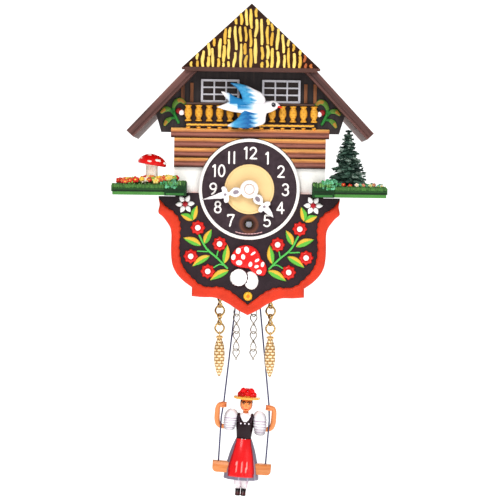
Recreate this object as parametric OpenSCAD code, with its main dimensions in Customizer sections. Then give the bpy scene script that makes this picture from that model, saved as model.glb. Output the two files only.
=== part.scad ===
// Miniature key-wound chalet clock with a swinging doll and a rocking bird.
// Origin: centre of the hanging hole on the back of the case. Wall plane y = 0.
// The front faces -Y, X points right and Z points up. All sizes in mm.

/* [Frame] */
// Height of the dial centre, measured from the hanging hole
dial_z = -52; // [-60:0.5:-40]
// Radius of the hanging hole
hang_r = 4; // [3:0.1:6]

/* [Case] */
// Half width of the box behind the front
box_half = 38; // [34:0.5:42]
// Thickness of the side boards
side_t = 4; // [2:0.5:6]
// Thickness of the back board
back_t = 3; // [2:0.5:5]
// Depth of the back of the front board
face_back = 45; // [40:0.5:50]
// Depth of the front of the front board
face_front = 48; // [43:0.5:53]
// Half width of the plastered wall
wall_half = 40.4; // [38:0.1:44]
// Height of the underside of the jettied gable
jetty_z = 30; // [25:0.5:34]
// Underside of the case floor
floor_z = -50; // [-54:0.5:-46]
// Diameter of the wall logs
log_d = 5.3; // [4:0.1:6]

/* [Roof] */
// Height of the ridge above the dial centre
ridge_z = 99.8; // [90:0.1:110]
// Half span at the top of the eaves
eave_x = 65.5; // [60:0.1:72]
// Height of the top of the eaves
eave_z = 30.3; // [25:0.1:40]
// Thickness of the roof boards
roof_t = 4.75; // [3:0.05:6]
// Depth of the roof boards
roof_d = 60; // [52:0.5:66]
// Height of the foot of the hip
hip_z = 64.4; // [55:0.1:75]
// Half width of the foot of the hip
hip_half = 36.6; // [30:0.1:42]

/* [Dial] */
// Radius of the white dial ring
ring_r = 27; // [24:0.1:30]
// Inner radius of the white dial ring
ring_in = 25.3; // [22:0.1:28]
// Radius of the cream centre disc
disc_r = 13.3; // [11:0.1:16]
// Radius of the circle of the numbers
num_r = 19.3; // [17:0.1:22]
// Height of the numbers
num_h = 7.4; // [5:0.1:9]
// Stroke width of the numbers
num_w = 1.15; // [0.8:0.1:2]

/* [Hands] */
// Angle of the minute hand, clockwise from twelve
minute_a = 256.8; // [0:0.1:360]
// Length of the minute hand
minute_l = 25.9; // [20:0.1:27]
// Angle of the hour hand, clockwise from twelve
hour_a = 138.8; // [0:0.1:360]
// Length of the hour hand
hour_l = 19.9; // [14:0.1:24]

/* [Movement] */
// Depth of the back of the back plate
plate_b = 20.8; // [18:0.1:24]
// Depth of the front of the front plate
plate_f = 40; // [36:0.1:42]
// Thickness of the movement plates
plate_t = 1.2; // [0.8:0.1:2]
// Pressure angle of the wheel teeth
gear_pa = 25; // [20:0.5:30]
// Backlash taken off each tooth
gear_thin = 0.08; // [0.02:0.01:0.2]
// Running clearance of pivots in their holes
run_c = 0.07; // [0.02:0.01:0.1]

/* [Swing] */
// Depth of the plane in which the doll swings
swing_d = 16; // [10:0.5:20]
// Growth of the doll to allow for its plane lying behind the front
swing_k = 1.027; // [1:0.001:1.06]
// Radius of the cords
cord_r = 0.4; // [0.2:0.05:0.8]
// Lean of the seat and doll
swing_lean = 3.5; // [-6:0.5:6]
// Underside of the seat in the plane of the swing
seat_z = -152.4; // [-155:0.1:-150]
// Thickness of the seat
seat_t = 6; // [3:0.1:8]

/* [Chains] */
// Distance of the outer chains from the middle
chain_out = 13.7; // [10:0.1:18]
// Distance of the inner chains from the middle
chain_in = 4.6; // [3:0.1:8]
// Offset of the middle of the four chains from the middle of the case
chain_mid = -1.3; // [-3:0.1:3]
// Depth of the chains
chain_d = 38; // [30:0.5:42]
// Pitch of the chain links
link_p = 4.7; // [4:0.1:6]

/* [Hidden] */
$fn = 48;
eps = 0.02;
slope = (ridge_z - eave_z) / eave_x;
pitch_a = atan(slope);
roof_v = roof_t / cos(pitch_a);
under_z = ridge_z - roof_v;
hole_z = -dial_z;
great_m = 0.52;
centre_m = 0.36;
third_m = 0.32;
cannon_m = 0.35;
motion_m = 0.336;
great_z = -great_m * 36;
third_x = 9.58;
third_z = sqrt(pow(centre_m * 39, 2) - third_x * third_x);
escape_z = 19;
pallet_z = 29.5;
bird_z = 44.5;
post_x = cannon_m * 24;
arbor_r = 0.8;
winder_r = 1.8;
dark = [0.23, 0.19, 0.2];
brass = [0.83, 0.68, 0.34];
steel = [0.66, 0.66, 0.69];
roof_c = [0.42, 0.28, 0.24];
red = [0.88, 0.16, 0.12];
orange = [0.93, 0.3, 0.17];
green = [0.24, 0.55, 0.24];
gold = [0.9, 0.7, 0.25];
cream = [0.98, 0.87, 0.64];
white = [0.96, 0.95, 0.93];
wood = [0.66, 0.44, 0.27];

// Part to draw

// ---- helpers: coordinates are x, height above the dial centre, and depth from the wall ----

module rel() {
  translate([0, 0, dial_z]) children();
}

// A flat shape drawn in x and height, filling depths d0 to d1.
module flat(d0, d1) {
  translate([0, -d0, 0]) rotate([90, 0, 0]) linear_extrude(d1 - d0) children();
}

module bx(x0, x1, d0, d1, z0, z1) {
  translate([x0, -d1, z0]) cube([x1 - x0, d1 - d0, z1 - z0]);
}

// A round pin along the depth.
module pin(x, z, d0, d1, r) {
  translate([x, -d0, z]) rotate([90, 0, 0]) cylinder(h = d1 - d0, r = r);
}

module rod(a, b, r) {
  v = b - a;
  translate(a)
    rotate([0, acos(v[2] / norm(v)), atan2(v[1], v[0])])
      cylinder(h = norm(v), r = r, $fn = 24);
}

module ball(p, r) {
  translate(p) sphere(r = r, $fn = 32);
}

module mirrored() {
  children();
  mirror([1, 0, 0]) children();
}

function spline(a, b, c, d, t) =
  0.5 * (2 * b + (c - a) * t + (2 * a - 5 * b + 4 * c - d) * t * t + (3 * b - a - 3 * c + d) * t * t * t);

function smooth(p, n) =
  [for (i = [1:len(p) - 3]) for (k = [0:n - 1]) spline(p[i - 1], p[i], p[i + 1], p[i + 2], k / n)];

function arc(c, r, a0, a1, n) =
  [for (i = [0:n]) c + r * [cos(a0 + (a1 - a0) * i / n), sin(a0 + (a1 - a0) * i / n)]];

function flip(p) = [for (i = [len(p) - 1:-1:0]) [-p[i][0], p[i][1]]];

// A leaf along +y from the origin.
function leaf_pts(l, w, n) = concat(
  [for (i = [0:n]) [w / 2 * pow(sin(180 * i / n), 0.8), l * i / n]],
  [for (i = [n - 1:-1:1]) [-w / 2 * pow(sin(180 * i / n), 0.8), l * i / n]]);

module leaf(base, tip, w) {
  v = tip - base;
  translate(base) rotate(atan2(v[1], v[0]) - 90) polygon(leaf_pts(norm(v), w, 8));
}

function heading(a, b) = atan2(b[1] - a[1], b[0] - a[0]);

function half_turn(a) = a > 180 ? (a - 360) / 2 : (a < -180 ? (a + 360) / 2 : a / 2);

// Sideways step at point i of a stroke, mitred between its two segments.
function side_step(p, i, r) =
  let (n = len(p) - 1, b = heading(p[max(i - 1, 0)], p[max(i, 1)]),
    c = heading(p[min(i, n - 1)], p[min(i + 1, n)]), h = half_turn(c - b))
  r / cos(h) * [-sin(b + h), cos(b + h)];

function tip_arc(p, a, r) = [for (k = [1:5]) p + r * [cos(a + 90 - 30 * k), sin(a + 90 - 30 * k)]];

// A line of width w through the points p, with round ends.
module stroke(p, w) {
  n = len(p) - 1;
  polygon(concat(
    [for (i = [0:n]) p[i] + side_step(p, i, w / 2)],
    tip_arc(p[n], heading(p[n - 1], p[n]), w / 2),
    [for (i = [n:-1:0]) p[i] - side_step(p, i, w / 2)],
    tip_arc(p[0], heading(p[1], p[0]), w / 2)));
}

module ring_2d(c, rx, rz, w) {
  translate(c) difference() {
    polygon([for (a = [0:18:342]) [(rx + w / 2) * cos(a), (rz + w / 2) * sin(a)]]);
    polygon([for (a = [0:18:342]) [(rx - w / 2) * cos(a), (rz - w / 2) * sin(a)]]);
  }
}

module petals(c, r, n, k) {
  translate(c) {
    circle(r = r * 0.75, $fn = 24);
    for (i = [0:n - 1]) {
      rotate(360 * i / n) translate([r * (1 - k), 0]) circle(r = r * k, $fn = 14);
    }
  }
}

// ---- toothed wheels ----

function inv_d(a) = (tan(a) - a * PI / 180) * 180 / PI;

function mate(a, p1, n1, n2) = a + 180 + 360 / n2 * ((a - p1) * n1 / 360 + 0.5);

function tooth_r(q, st, rr, r0, ro) = q == 0 ? rr : r0 + (ro - r0) * (q - 1) / (st - 1);

function gear_pts(n, m, ka, st, ph) =
  let (rp = m * n / 2, rb = rp * cos(gear_pa), ro = rp + ka * m, rr = rp - 1.1 * m,
    h = 90 / n - gear_thin / (2 * rp) * 180 / PI + inv_d(gear_pa), r0 = max(rr + 0.02, rb))
  [for (k = [0:n - 1]) for (s = [-1, 1]) for (i = [0:st])
    let (q = s < 0 ? i : st - i, r = tooth_r(q, st, rr, r0, ro),
      a = 360 * k / n + ph + s * (h - inv_d(acos(min(1, rb / max(r, rb))))))
    r * [cos(a), sin(a)]];

// A crossed-out wheel: rim, spokes and hub, with teeth outside and a round bore.
module wheel(x, z, d0, d1, n, m, ka, ph, bore, hub, rim, spokes) {
  difference() {
    translate([x, 0, z]) flat(d0, d1) polygon(gear_pts(n, m, ka, 2, ph));
    if (spokes > 0) {
      for (i = [0:spokes - 1]) {
        translate([x, 0, z])
          flat(d0 - 1, d1 + 1)
            rotate(360 * (i + 0.5) / spokes)
              window(hub, rim, 180 / spokes);
      }
    }
    pin(x, z, d0 - 1, d1 + 1, bore);
  }
}

module window(r0, r1, half) {
  g0 = asin(0.7 / r0);
  g1 = asin(0.7 / r1);
  polygon(concat(
    arc([0, 0], r1, -half + g1, half - g1, 6),
    arc([0, 0], r0, half - g0, -half + g0, 4)));
}

module pinion(x, z, d0, d1, n, m, ka, ph) {
  translate([x, 0, z]) flat(d0, d1) polygon(gear_pts(n, m, ka, 4, ph));
}

// ---- case ----

function roof_under(x) = under_z - slope * abs(x);

module back_board() {
  color(wood) rel() difference() {
    flat(0, back_t) polygon([
      [-box_half, floor_z + 5],
      [4 - box_half, floor_z + 1],
      [4 - box_half, floor_z],
      [box_half - 4, floor_z],
      [box_half - 4, floor_z + 1],
      [box_half, floor_z + 5],
      [box_half, roof_under(box_half)],
      [0, under_z],
      [-box_half, roof_under(box_half)]]);
    pin(0, hole_z, -1, back_t + 1, hang_r);
    for (x = [-1, 1]) {
      for (z = [-42, 44]) {
        pin(x * (box_half - 2), z, -1, back_t + 1, 0.6);
        pin(x * (box_half - 2), z, -1, 1, 1.7);
      }
    }
  }
}

module side_board() {
  x0 = box_half - side_t;
  difference() {
    flat(back_t, face_back) polygon([
      [x0, floor_z + 1],
      [box_half, floor_z + 5],
      [box_half, roof_under(box_half)],
      [x0, roof_under(x0)]]);
    for (z = [-42, 44]) {
      pin(box_half - 2, z, back_t - 1, back_t + 8, 0.6);
    }
  }
}

module case_side_left() {
  color(wood) rel() mirror([1, 0, 0]) side_board();
}

module case_side_right() {
  color(wood) rel() side_board();
}

module case_floor() {
  x0 = box_half - side_t;
  color(wood) rel() difference() {
    bx(-x0, x0, 22, face_back, floor_z, floor_z + 3);
    for (x = [-chain_out, -chain_in, chain_in, chain_out]) {
      translate([x + chain_mid, -chain_d, floor_z - 1]) cylinder(h = 5, r = 0.5);
    }
  }
}

// Outer layer and a thinner, set-back lip under it; the ridge end is cut back for the hip.
module roof_half() {
  k = 0.66;
  difference() {
    union() {
      flat(0, roof_d) polygon([
        [0, ridge_z],
        [eave_x, eave_z],
        [eave_x - roof_t * k * sin(pitch_a), eave_z - roof_t * k * cos(pitch_a)],
        [0, ridge_z - roof_v * k]]);
      flat(0, roof_d - 1.2) polygon([
        [0, ridge_z - roof_v * k],
        [eave_x - roof_t * k * sin(pitch_a), eave_z - roof_t * k * cos(pitch_a)],
        [eave_x - roof_t * sin(pitch_a), eave_z - roof_t * cos(pitch_a)],
        [0, under_z]]);
    }
    hip_space(3);
  }
}

// Everything in front of the plane of the hip, set back by t.
module hip_space(t) {
  hy = 62 - t * 0.851;
  hz = hip_z - t * 0.525;
  translate([-60, 0, 0]) rotate([90, 0, 90]) linear_extrude(120) polygon([
    [-hy, hz],
    [-hy + 30, hz + 48.7],
    [-hy - 20, hz + 48.7],
    [-hy - 20, hz]]);
}

module roof_board_left() {
  color(roof_c) rel() mirror([1, 0, 0]) roof_half();
}

module roof_board_right() {
  color(roof_c) rel() roof_half();
}

// Reed-covered hip: a sloping panel with raised reeds and a trim board along its foot.
module hip_roof() {
  rise = ridge_z + 0.6 - hip_z;
  color([0.85, 0.68, 0.3]) rel() {
    intersection() {
      flat(30, 66) polygon([[-hip_half, hip_z], [hip_half, hip_z], [0, hip_z + rise]]);
      union() {
        difference() {
          hip_space(3);
          hip_space(1);
        }
        for (i = [-18:18]) {
          w = 0.9 + 0.35 * sin(i * 97);
          intersection() {
            translate([i * 2 - w / 2, -70, hip_z]) cube([w, 50, 60]);
            difference() {
              hip_space(1);
              hip_space(0.2 + 0.2 * sin(i * 61));
            }
          }
        }
      }
    }
    bx(-hip_half + 1.5, hip_half - 1.5, roof_d, roof_d + 2, hip_z - 2.4, hip_z - 0.05);
  }
}

// ---- front ----

module facade_shape() {
  polygon([
    [0, under_z - 0.05],
    [50.3, roof_under(50.3) - 0.05],
    [47.5, jetty_z],
    [wall_half, jetty_z],
    [wall_half, -2.3],
    [box_half, -8],
    [box_half, floor_z + 4],
    [-box_half, floor_z + 4],
    [-box_half, -8],
    [-wall_half, -2.3],
    [-wall_half, jetty_z],
    [-47.5, jetty_z],
    [-50.3, roof_under(50.3) - 0.05]]);
}

module facade() {
  color(white) rel() difference() {
    union() {
      flat(face_back, face_front) facade_shape();
      for (x = [-36.2, -31.4, 29.4, 34.4]) {
        bx(x - 0.9, x + 0.9, face_front, face_front + 0.8, 46.2, 56.4);
      }
    }
    pin(0, 0, face_back - 1, face_front + 1, 3.2);
    pin(0, great_z, face_back - 1, face_front + 1, 2.6);
    pin(0, bird_z, face_back - 1, face_front + 1, 0.9 + run_c);
    hip_space(3);
  }
}

module window_frame(x) {
  difference() {
    bx(x - 10.15, x + 10.15, face_front, face_front + 1.4, 46.1, 58.4);
    for (i = [-1:1]) {
      for (j = [-1:1]) {
        translate([x + i * 6.35 - 2.65, -face_front - 2, 52.25 + j * 3.75 - 1.5])
          cube([5.3, 3, 3]);
      }
    }
  }
}

module windows() {
  color(white) rel() mirrored() difference() {
    window_frame(16.3);
    bx(7.2, 25.4, face_front - 1, face_front + 0.5, 47.1, 57.4);
  }
}

module window_panes() {
  color(dark) rel() for (x = [-16.3, 16.3]) {
    bx(x - 9, x + 9, face_front, face_front + 0.45, 47.2, 57.3);
  }
}

module baluster(x) {
  translate([x, -face_front - 2.3, 35.2]) rotate_extrude($fn = 24) polygon([
    [0, 0],
    [2, 0],
    [2, 0.9],
    [0.9, 1.7],
    [2.1, 3.6],
    [2.1, 4.6],
    [0.8, 6.6],
    [0.8, 7.2],
    [1.9, 8.3],
    [1.9, 9.6],
    [0, 9.6]]);
}

module balcony_railing() {
  color(gold) rel() difference() {
    union() {
      bx(-34.2, 34.2, face_front, face_front + 0.35, 35, 45.4);
      intersection() {
        union() {
          for (i = [-6:6]) {
            baluster(0.4 + i * 5.59);
          }
        }
        bx(-34.2, 34.2, face_front, face_front + 9, 33, 46);
      }
      bx(-34.2, 34.2, face_front, face_front + 4.6, 33, 35.2);
      bx(-34.2, 34.2, face_front, face_front + 4.4, 44.8, 45.9);
    }
    bx(-2.2, 3, face_front - 1, face_front + 9, 42.6, 47);
  }
}

module log(z, half, r) {
  difference() {
    translate([-half, -face_front - 0.9, z]) rotate([0, 90, 0]) cylinder(h = 2 * half, r = r);
    bx(-half - 1, half + 1, face_front - 5, face_front, z - 4, z + 4);
  }
}

module log_siding() {
  color([0.6, 0.36, 0.26]) rel() difference() {
    union() {
      log(29.8, 42.2, 2.66);
      for (i = [1:3]) {
        log(29.8 - i * log_d, wall_half, 2.64);
      }
    }
    pin(0, 0, face_front - 1, face_front + 9, ring_r + 0.3);
  }
}

module leaf_trio(x, z) {
  leaf([x, z], [x + 9.6, z + 2], 4.6);
  leaf([x, z], [x - 3.4, z + 6.8], 4.4);
  leaf([x, z], [x + 4.6, z + 6.8], 4);
  leaf([x, z], [x - 5.4, z - 1.2], 3.6);
}

module gable_leaves() {
  color(green) rel() mirrored() difference() {
    union() {
      flat(face_front, face_front + 1.5) leaf_trio(38.2, 39.4);
      translate([37.2, -face_front - 1.5, 39.7]) sphere(r = 1.6, $fn = 24);
    }
    bx(20, 34.3, face_front - 1, face_front + 9, 30, 50);
    bx(30, 36, face_front - 1, face_front + 9, 46, 50);
    bx(30, 44, face_front - 3, face_front, 30, 50);
  }
}

// ---- shield under the dial ----

function shield_side() = concat(
  [[0, -2.3], [36, -2.3], [48.5, -2.3]],
  smooth([[48.5, 2], [48.5, -2.4], [48.3, -6], [47.8, -9], [48.4, -13], [45.7, -15.6], [42.2, -20.5],
    [41.3, -24.8], [41.4, -31], [41.2, -36.8], [40.3, -41.6], [37.9, -46], [34, -49.9], [30, -52.7],
    [27, -55]], 3),
  [[30, -52.8], [30, -57.5]],
  smooth([[33, -57.2], [29.9, -57.6], [24, -58], [19, -58], [15.3, -58.9], [10.2, -61.4],
    [5.5, -64.5], [0.4, -67.1], [-3, -68]], 3));

module shield_shape() {
  polygon(concat(shield_side(), [[0, -67.3]], flip(shield_side())));
}

module shield_cuts() {
  pin(0, 0, face_front - 1, face_front + 9, ring_r + 0.3);
  mirrored() {
    bx(33, 50, face_front - 1, face_front + 9, -4.2, 5);
  }
}

module shield() {
  color(orange) rel() difference() {
    union() {
      flat(face_front, face_front + 2.5) shield_shape();
      flat(face_front + 2.4, face_front + 4) difference() {
        shield_shape();
        translate([0, 6]) scale([0.885, 1]) shield_shape();
      }
    }
    shield_cuts();
  }
}

module cap_2d(c, r, h, a) {
  translate(c) rotate(a) polygon(concat(
    [for (i = [0:12]) [r * cos(15 * i), h * sin(15 * i)]],
    [for (i = [1:5]) [-r * cos(30 * i), -0.22 * h * sin(30 * i)]]));
}

module red_flower(x, z) {
  flat(face_front + 2.5, face_front + 3.8) petals([x, z], 4, 8, 0.3);
  pin(x, z, face_front + 2.5, face_front + 4.5, 1.6);
}

module relief_half() {
  b = face_front + 2.5;
  flat(b, b + 1.4) petals([34.3, -8.6], 5.2, 6, 0.42);
  pin(34.3, -8.6, b, b + 2.1, 1.5);
  red_flower(27.2, -21.2);
  red_flower(15.5, -29.6);
  red_flower(30.8, -36.4);
  red_flower(21.6, -44.1);
  flat(b, b + 1) {
    leaf([29.8, -17.5], [28.2, -9.4], 3.6);
    leaf([29.8, -17.5], [36.5, -14], 3.6);
    leaf([25.5, -30.5], [34.7, -26.1], 4);
    leaf([23.5, -29.5], [20.1, -21.6], 3.8);
    leaf([12.9, -39.7], [11.6, -33.4], 3.4);
    leaf([20.8, -35.6], [29.6, -41.4], 3.6);
    leaf([10.5, -43.5], [20.1, -48.6], 3.8);
    stroke([[11.2, -42.1], [16.6, -37], [22.5, -32.2], [26.6, -24.5]], 1);
    stroke([[22.1, -33.9], [27.4, -34]], 0.8);
    stroke([[17, -36], [16.4, -33]], 0.8);
    stroke([[11.9, -41.1], [18.4, -42]], 0.8);
  }
}

module shield_relief() {
  b = face_front + 2.5;
  color(red) rel() {
    mirrored() difference() {
      relief_half();
      bx(33, 50, b - 1, b + 5, -4.2, 5);
    }
    flat(b, b + 1.6) cap_2d([-4.9, -47.8], 4.6, 4, 0);
    flat(b, b + 1.2) cap_2d([1.6, -49], 4, 3.6, 0);
    flat(b, b + 1.5) stroke([[-3.4, -40], [-4.4, -47]], 4.2);
    flat(b, b + 1.3) stroke([[2.6, -43], [0.9, -48]], 3.4);
    flat(b, b + 2.2) cap_2d([-1.3, -39.6], 8, 10.4, 6);
    flat(b, b + 2) cap_2d([3.6, -43.6], 6, 7, -35);
    pin(0, -57.2, b, b + 1.4, 2.4);
  }
}

// ---- dial ----

module dial_plate() {
  color(dark) rel() difference() {
    pin(0, 0, face_front, face_front + 2, ring_r);
    pin(0, 0, face_front - 1, face_front + 3, 3.2);
    pin(0, great_z, face_front - 1, face_front + 3, 2.3);
  }
}

module dial_ring() {
  color(white) rel() translate([0, -face_front - 2, 0]) rotate([90, 0, 0])
    rotate_extrude($fn = 96) polygon([
      [ring_in, 0],
      [ring_r, 0],
      [ring_r, 0.7],
      [ring_r - 0.5, 1.1],
      [ring_in + 0.4, 1.1],
      [ring_in, 0.8]]);
}

module dial_disc() {
  color(cream) rel() translate([0, -face_front - 2, 0]) rotate([90, 0, 0])
    rotate_extrude($fn = 96) polygon([
      [3.2, 0],
      [disc_r, 0],
      [disc_r, 0.7],
      [disc_r - 0.3, 1],
      [disc_r - 0.9, 1],
      [disc_r - 1.1, 0.6],
      [3.2, 0.6]]);
}

d1 = [[-1, 1.7], [0.3, 3], [0.3, -3]];
d2 = concat(arc([0, 1.4], 1.6, 165, -35, 7), [[-1.6, -3], [1.7, -3]]);
d4 = [[0.8, -3], [0.8, 3], [-1.8, -1.3], [1.8, -1.3]];
d7 = [[-1.6, 3], [1.7, 3], [-0.4, -3]];

module digit(d) {
  if (d == 0) {
    ring_2d([0, 0], 1.6, 3, num_w);
  } else if (d == 1) {
    stroke(d1, num_w);
  } else if (d == 2) {
    stroke(d2, num_w);
  } else if (d == 3) {
    stroke(arc([-0.1, 1.5], 1.5, 150, -90, 7), num_w);
    stroke(arc([-0.1, -1.4], 1.6, 90, -150, 7), num_w);
  } else if (d == 4) {
    stroke([d4[1], d4[0]], num_w);
    stroke([d4[1], d4[2], d4[3]], num_w);
  } else if (d == 5) {
    stroke([[1.4, 3], [-1.2, 3], [-1.4, 0.2]], num_w);
    stroke(arc([-0.1, -1.2], 1.8, 135, -145, 8), num_w);
  } else if (d == 7) {
    stroke(d7, num_w);
  } else if (d == 8) {
    ring_2d([0, 1.55], 1.45, 1.45, num_w);
    ring_2d([0, -1.45], 1.6, 1.6, num_w);
  } else if (d == 9) {
    ring_2d([0, 1.3], 1.65, 1.65, num_w);
    stroke(arc([-2.6, 0.9], 4.3, 5, -65, 5), num_w);
  }
}

module number(h, a, b) {
  translate(num_r * [sin(30 * h), cos(30 * h)]) scale((num_h - num_w) / 6) {
    if (b >= 0) {
      translate([-1.9, 0]) digit(a);
      translate([2.1, 0]) digit(b);
    } else {
      digit(a);
    }
  }
}

module dial_numbers() {
  color(white) rel() flat(face_front + 2, face_front + 2.35) {
    number(1, 1, -1);
    number(2, 2, -1);
    number(3, 3, -1);
    number(4, 4, -1);
    number(5, 5, -1);
    number(7, 7, -1);
    number(8, 8, -1);
    number(9, 9, -1);
    number(10, 1, 0);
    number(11, 1, 1);
    number(12, 1, 2);
  }
}

// ---- shelves, toadstool, pine and flowers ----

module shelf() {
  difference() {
    union() {
      bx(box_half, 73.3, 24, 60, -2.2, 1.5);
      bx(box_half, 72.7, 24.6, 59.4, -3.9, -2.2);
      bx(33.3, 45, face_front, 61, -4.1, 3.4);
    }
    bx(box_half - 2, wall_half, face_back, face_front, -8, 6);
  }
}

module shelf_left() {
  color(green) rel() mirror([1, 0, 0]) shelf();
}

module shelf_right() {
  color(green) rel() shelf();
}

module toadstool() {
  color(red) rel() translate([-52.3, -48, 1.5]) {
    cylinder(h = 12.4, r = 3.2);
    translate([0, 0, 10.6]) rotate([0, 9, 0]) {
      rotate_extrude($fn = 48) polygon([
        [0, 0],
        [6.6, 0],
        [7.6, 0.7],
        [7.2, 2.3],
        [5.6, 4.2],
        [3, 5.6],
        [0, 6.1]]);
      for (a = [[0, 5.6], [70, 4.6], [150, 4.4], [225, 4.5], [290, 4.7]]) {
        translate([a[1] * cos(a[0]), a[1] * sin(a[0]), 4.2]) sphere(r = 1.1, $fn = 20);
      }
    }
  }
}

module pine_tree() {
  color([0.09, 0.33, 0.2]) rel() translate([52.7, -46, 1.5]) rotate_extrude($fn = 40) polygon([
    [0, 0],
    [1.8, 0],
    [1.8, 2.6],
    [9.6, 3],
    [6.6, 9.6],
    [8.6, 10],
    [5.4, 16.4],
    [6.9, 16.8],
    [3.8, 22.6],
    [4.9, 23],
    [2.2, 28],
    [0.6, 31],
    [0, 31.2]]);
}

module flower(p, h, r) {
  translate([p[0], -p[1], 1.5]) {
    cylinder(h = h, r = 0.5, $fn = 16);
    translate([0, 0, h]) {
      sphere(r = r * 0.5, $fn = 20);
      for (i = [0:4]) {
        translate([r * 0.7 * cos(72 * i), -r * 0.15, r * 0.7 * sin(72 * i)]) sphere(r = r * 0.45, $fn = 16);
      }
    }
  }
}

module shrub(p, r) {
  translate([p[0], -p[1], 1.5 + r * 0.7]) sphere(r = r, $fn = 24);
}

module flowers_left() {
  color([0.95, 0.3, 0.2]) rel() difference() {
    union() {
      flower([-66.5, 50], 5.2, 2);
      flower([-61, 53], 4, 2);
      flower([-46, 53.6], 5, 2);
      flower([-42.8, 55], 3, 1.8);
      shrub([-63.6, 46], 2.2);
      shrub([-69.6, 49], 1.9);
      shrub([-44.4, 52.4], 2);
    }
    bx(-80, -30, 20, 70, -8, 1.5);
    bx(-46, -30, 20, 70, -8, 3.42);
  }
}

module flowers_right() {
  color([0.6, 0.85, 0.7]) rel() difference() {
    union() {
      flower([66.6, 50], 4.6, 2);
      flower([61.8, 55], 3.4, 1.8);
      flower([45.6, 56], 4.6, 2);
      shrub([65, 45], 2.3);
      shrub([69.8, 50], 1.8);
      shrub([43.6, 54], 2);
    }
    bx(30, 80, 20, 70, -8, 1.5);
    bx(30, 46, 20, 70, -8, 3.42);
  }
}

// ---- movement ----

module plate_shape() {
  polygon([[-21, -37], [21, -37], [21, 36], [-21, 36]]);
}

module plate_holes(d0, d1, centre, winder) {
  pin(0, 0, d0 - 1, d1 + 1, centre + run_c);
  pin(0, great_z, d0 - 1, d1 + 1, winder + run_c);
  pin(third_x, third_z, d0 - 1, d1 + 1, arbor_r + run_c);
  pin(0, escape_z, d0 - 1, d1 + 1, arbor_r + run_c);
  pin(0, pallet_z, d0 - 1, d1 + 1, 0.9 + run_c);
}

pillar_at = [[-18, -33.5], [18, -33.5], [-18, 32.5], [18, 32.5]];

module front_plate() {
  d0 = plate_f - plate_t;
  color(brass) rel() {
    difference() {
      flat(d0, plate_f) plate_shape();
      plate_holes(d0, plate_f, arbor_r, winder_r);
      pin(-12, 8, d0 - 1, plate_f + 1, 5);
    }
    pin(post_x, 0, plate_f - 0.4, plate_f + 4.2, 0.8);
  }
}

module back_plate() {
  d0 = plate_b;
  color(brass) rel() difference() {
    flat(d0, d0 + plate_t) plate_shape();
    plate_holes(d0, d0 + plate_t, arbor_r, winder_r);
    pin(-12, 8, d0 - 1, d0 + plate_t + 1, 5);
  }
}

// Pillars between the plates, their nuts, and the spacers that hold the movement off the front board.
module pillars() {
  color(steel) rel() for (p = pillar_at) {
    pin(p[0], p[1], plate_b + plate_t, plate_f - plate_t, 1.9);
    pin(p[0], p[1], plate_b - 1.6, plate_b, 2.4);
    pin(p[0], p[1], plate_f, face_back, 2.2);
  }
}

module mainspring() {
  n = 150;
  r0 = 3;
  r1 = 15.2;
  turns = 9;
  hook_a = atan2(pillar_at[1][1] - great_z, pillar_at[1][0]);
  a = [for (i = [0:n]) hook_a + 360 * turns * (1 - i / n)];
  r = [for (i = [0:n]) r0 + (r1 - r0) * pow(i / n, 1.15)];
  c = [0, great_z];
  color([0.35, 0.38, 0.45]) rel() flat(23.4, 29) {
    polygon(concat(
      [for (i = [0:n]) c + (r[i] - 0.22) * [cos(a[i]), sin(a[i])]],
      [for (i = [n:-1:0]) c + (r[i] + 0.22) * [cos(a[i]), sin(a[i])]]));
    translate(c) rotate(hook_a) translate([15, -0.4]) square([6.35, 0.8]);
    translate(c) rotate(hook_a) translate([2.7, -0.4]) square([0.6, 0.8]);
  }
}

module great_wheel() {
  r = great_m * 32;
  color(brass) rel() {
    difference() {
      wheel(0, great_z, 31, 32.2, 64, great_m, 0.5, 0, winder_r + run_c, 12.6, r - 2.4, 0);
      for (i = [1:4]) {
        translate([0, 0, great_z])
          flat(30, 34)
            rotate(72 * i + 90)
              window(7.6, r - 2.4, 36);
      }
    }
    pin(0, great_z + 11.6, 29.3, 31.5, 0.8);
  }
}

module winding_arbor() {
  color(steel) rel() {
    pin(0, great_z, 19.4, 47.4, winder_r);
    pin(0, great_z, 32.3, 33.4, 3.4);
    translate([0, 0, great_z]) difference() {
      pin(0, 0, 47.4, 51.4, winder_r);
      for (a = [0:90:270]) {
        rotate([0, a, 0]) bx(1.3, 4, 47.4, 52, -4, 4);
      }
    }
    translate([0, 0, great_z]) bx(1.5, 2.62, 24.4, 27.8, -0.35, 0.35);
  }
}

module ratchet_wheel() {
  n = 18;
  color(steel) rel() difference() {
    translate([0, 0, great_z]) flat(29.6, 30.9) polygon(
      [for (i = [0:n - 1]) each [
        7.4 * [cos(360 * i / n), sin(360 * i / n)],
        6.4 * [cos(360 * (i + 0.12) / n), sin(360 * (i + 0.12) / n)]]]);
    pin(0, great_z, 28, 32, winder_r);
  }
}

// Pawl on the face of the great wheel, just clear of the ratchet tips.
module click() {
  color(steel) rel() difference() {
    union() {
      pin(0, great_z + 11.6, 29.7, 30.9, 1.7);
      translate([0, 0, great_z]) flat(29.7, 30.9) polygon([
        [0.6, 13.2],
        [-6.6, 9.4],
        [-7, 5.2],
        [-6.05, 4.7],
        [-4.6, 7.6],
        [-0.4, 10.1]]);
    }
    pin(0, great_z + 11.6, 29, 32, 0.8 + run_c);
  }
}

module centre_wheel() {
  p8 = mate(90, 0, 64, 8);
  color(brass) rel() {
    pin(0, 0, 19.4, 53.2, arbor_r);
    pinion(0, 0, 30.2, 33, 8, great_m, 0.7, p8);
    wheel(0, 0, 35, 36, 72, centre_m, 0.5, 0, 0.7, 3, centre_m * 36 - 2, 4);
    pin(0, 0, 33.4, 34.9, 1.8);
  }
}

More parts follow.
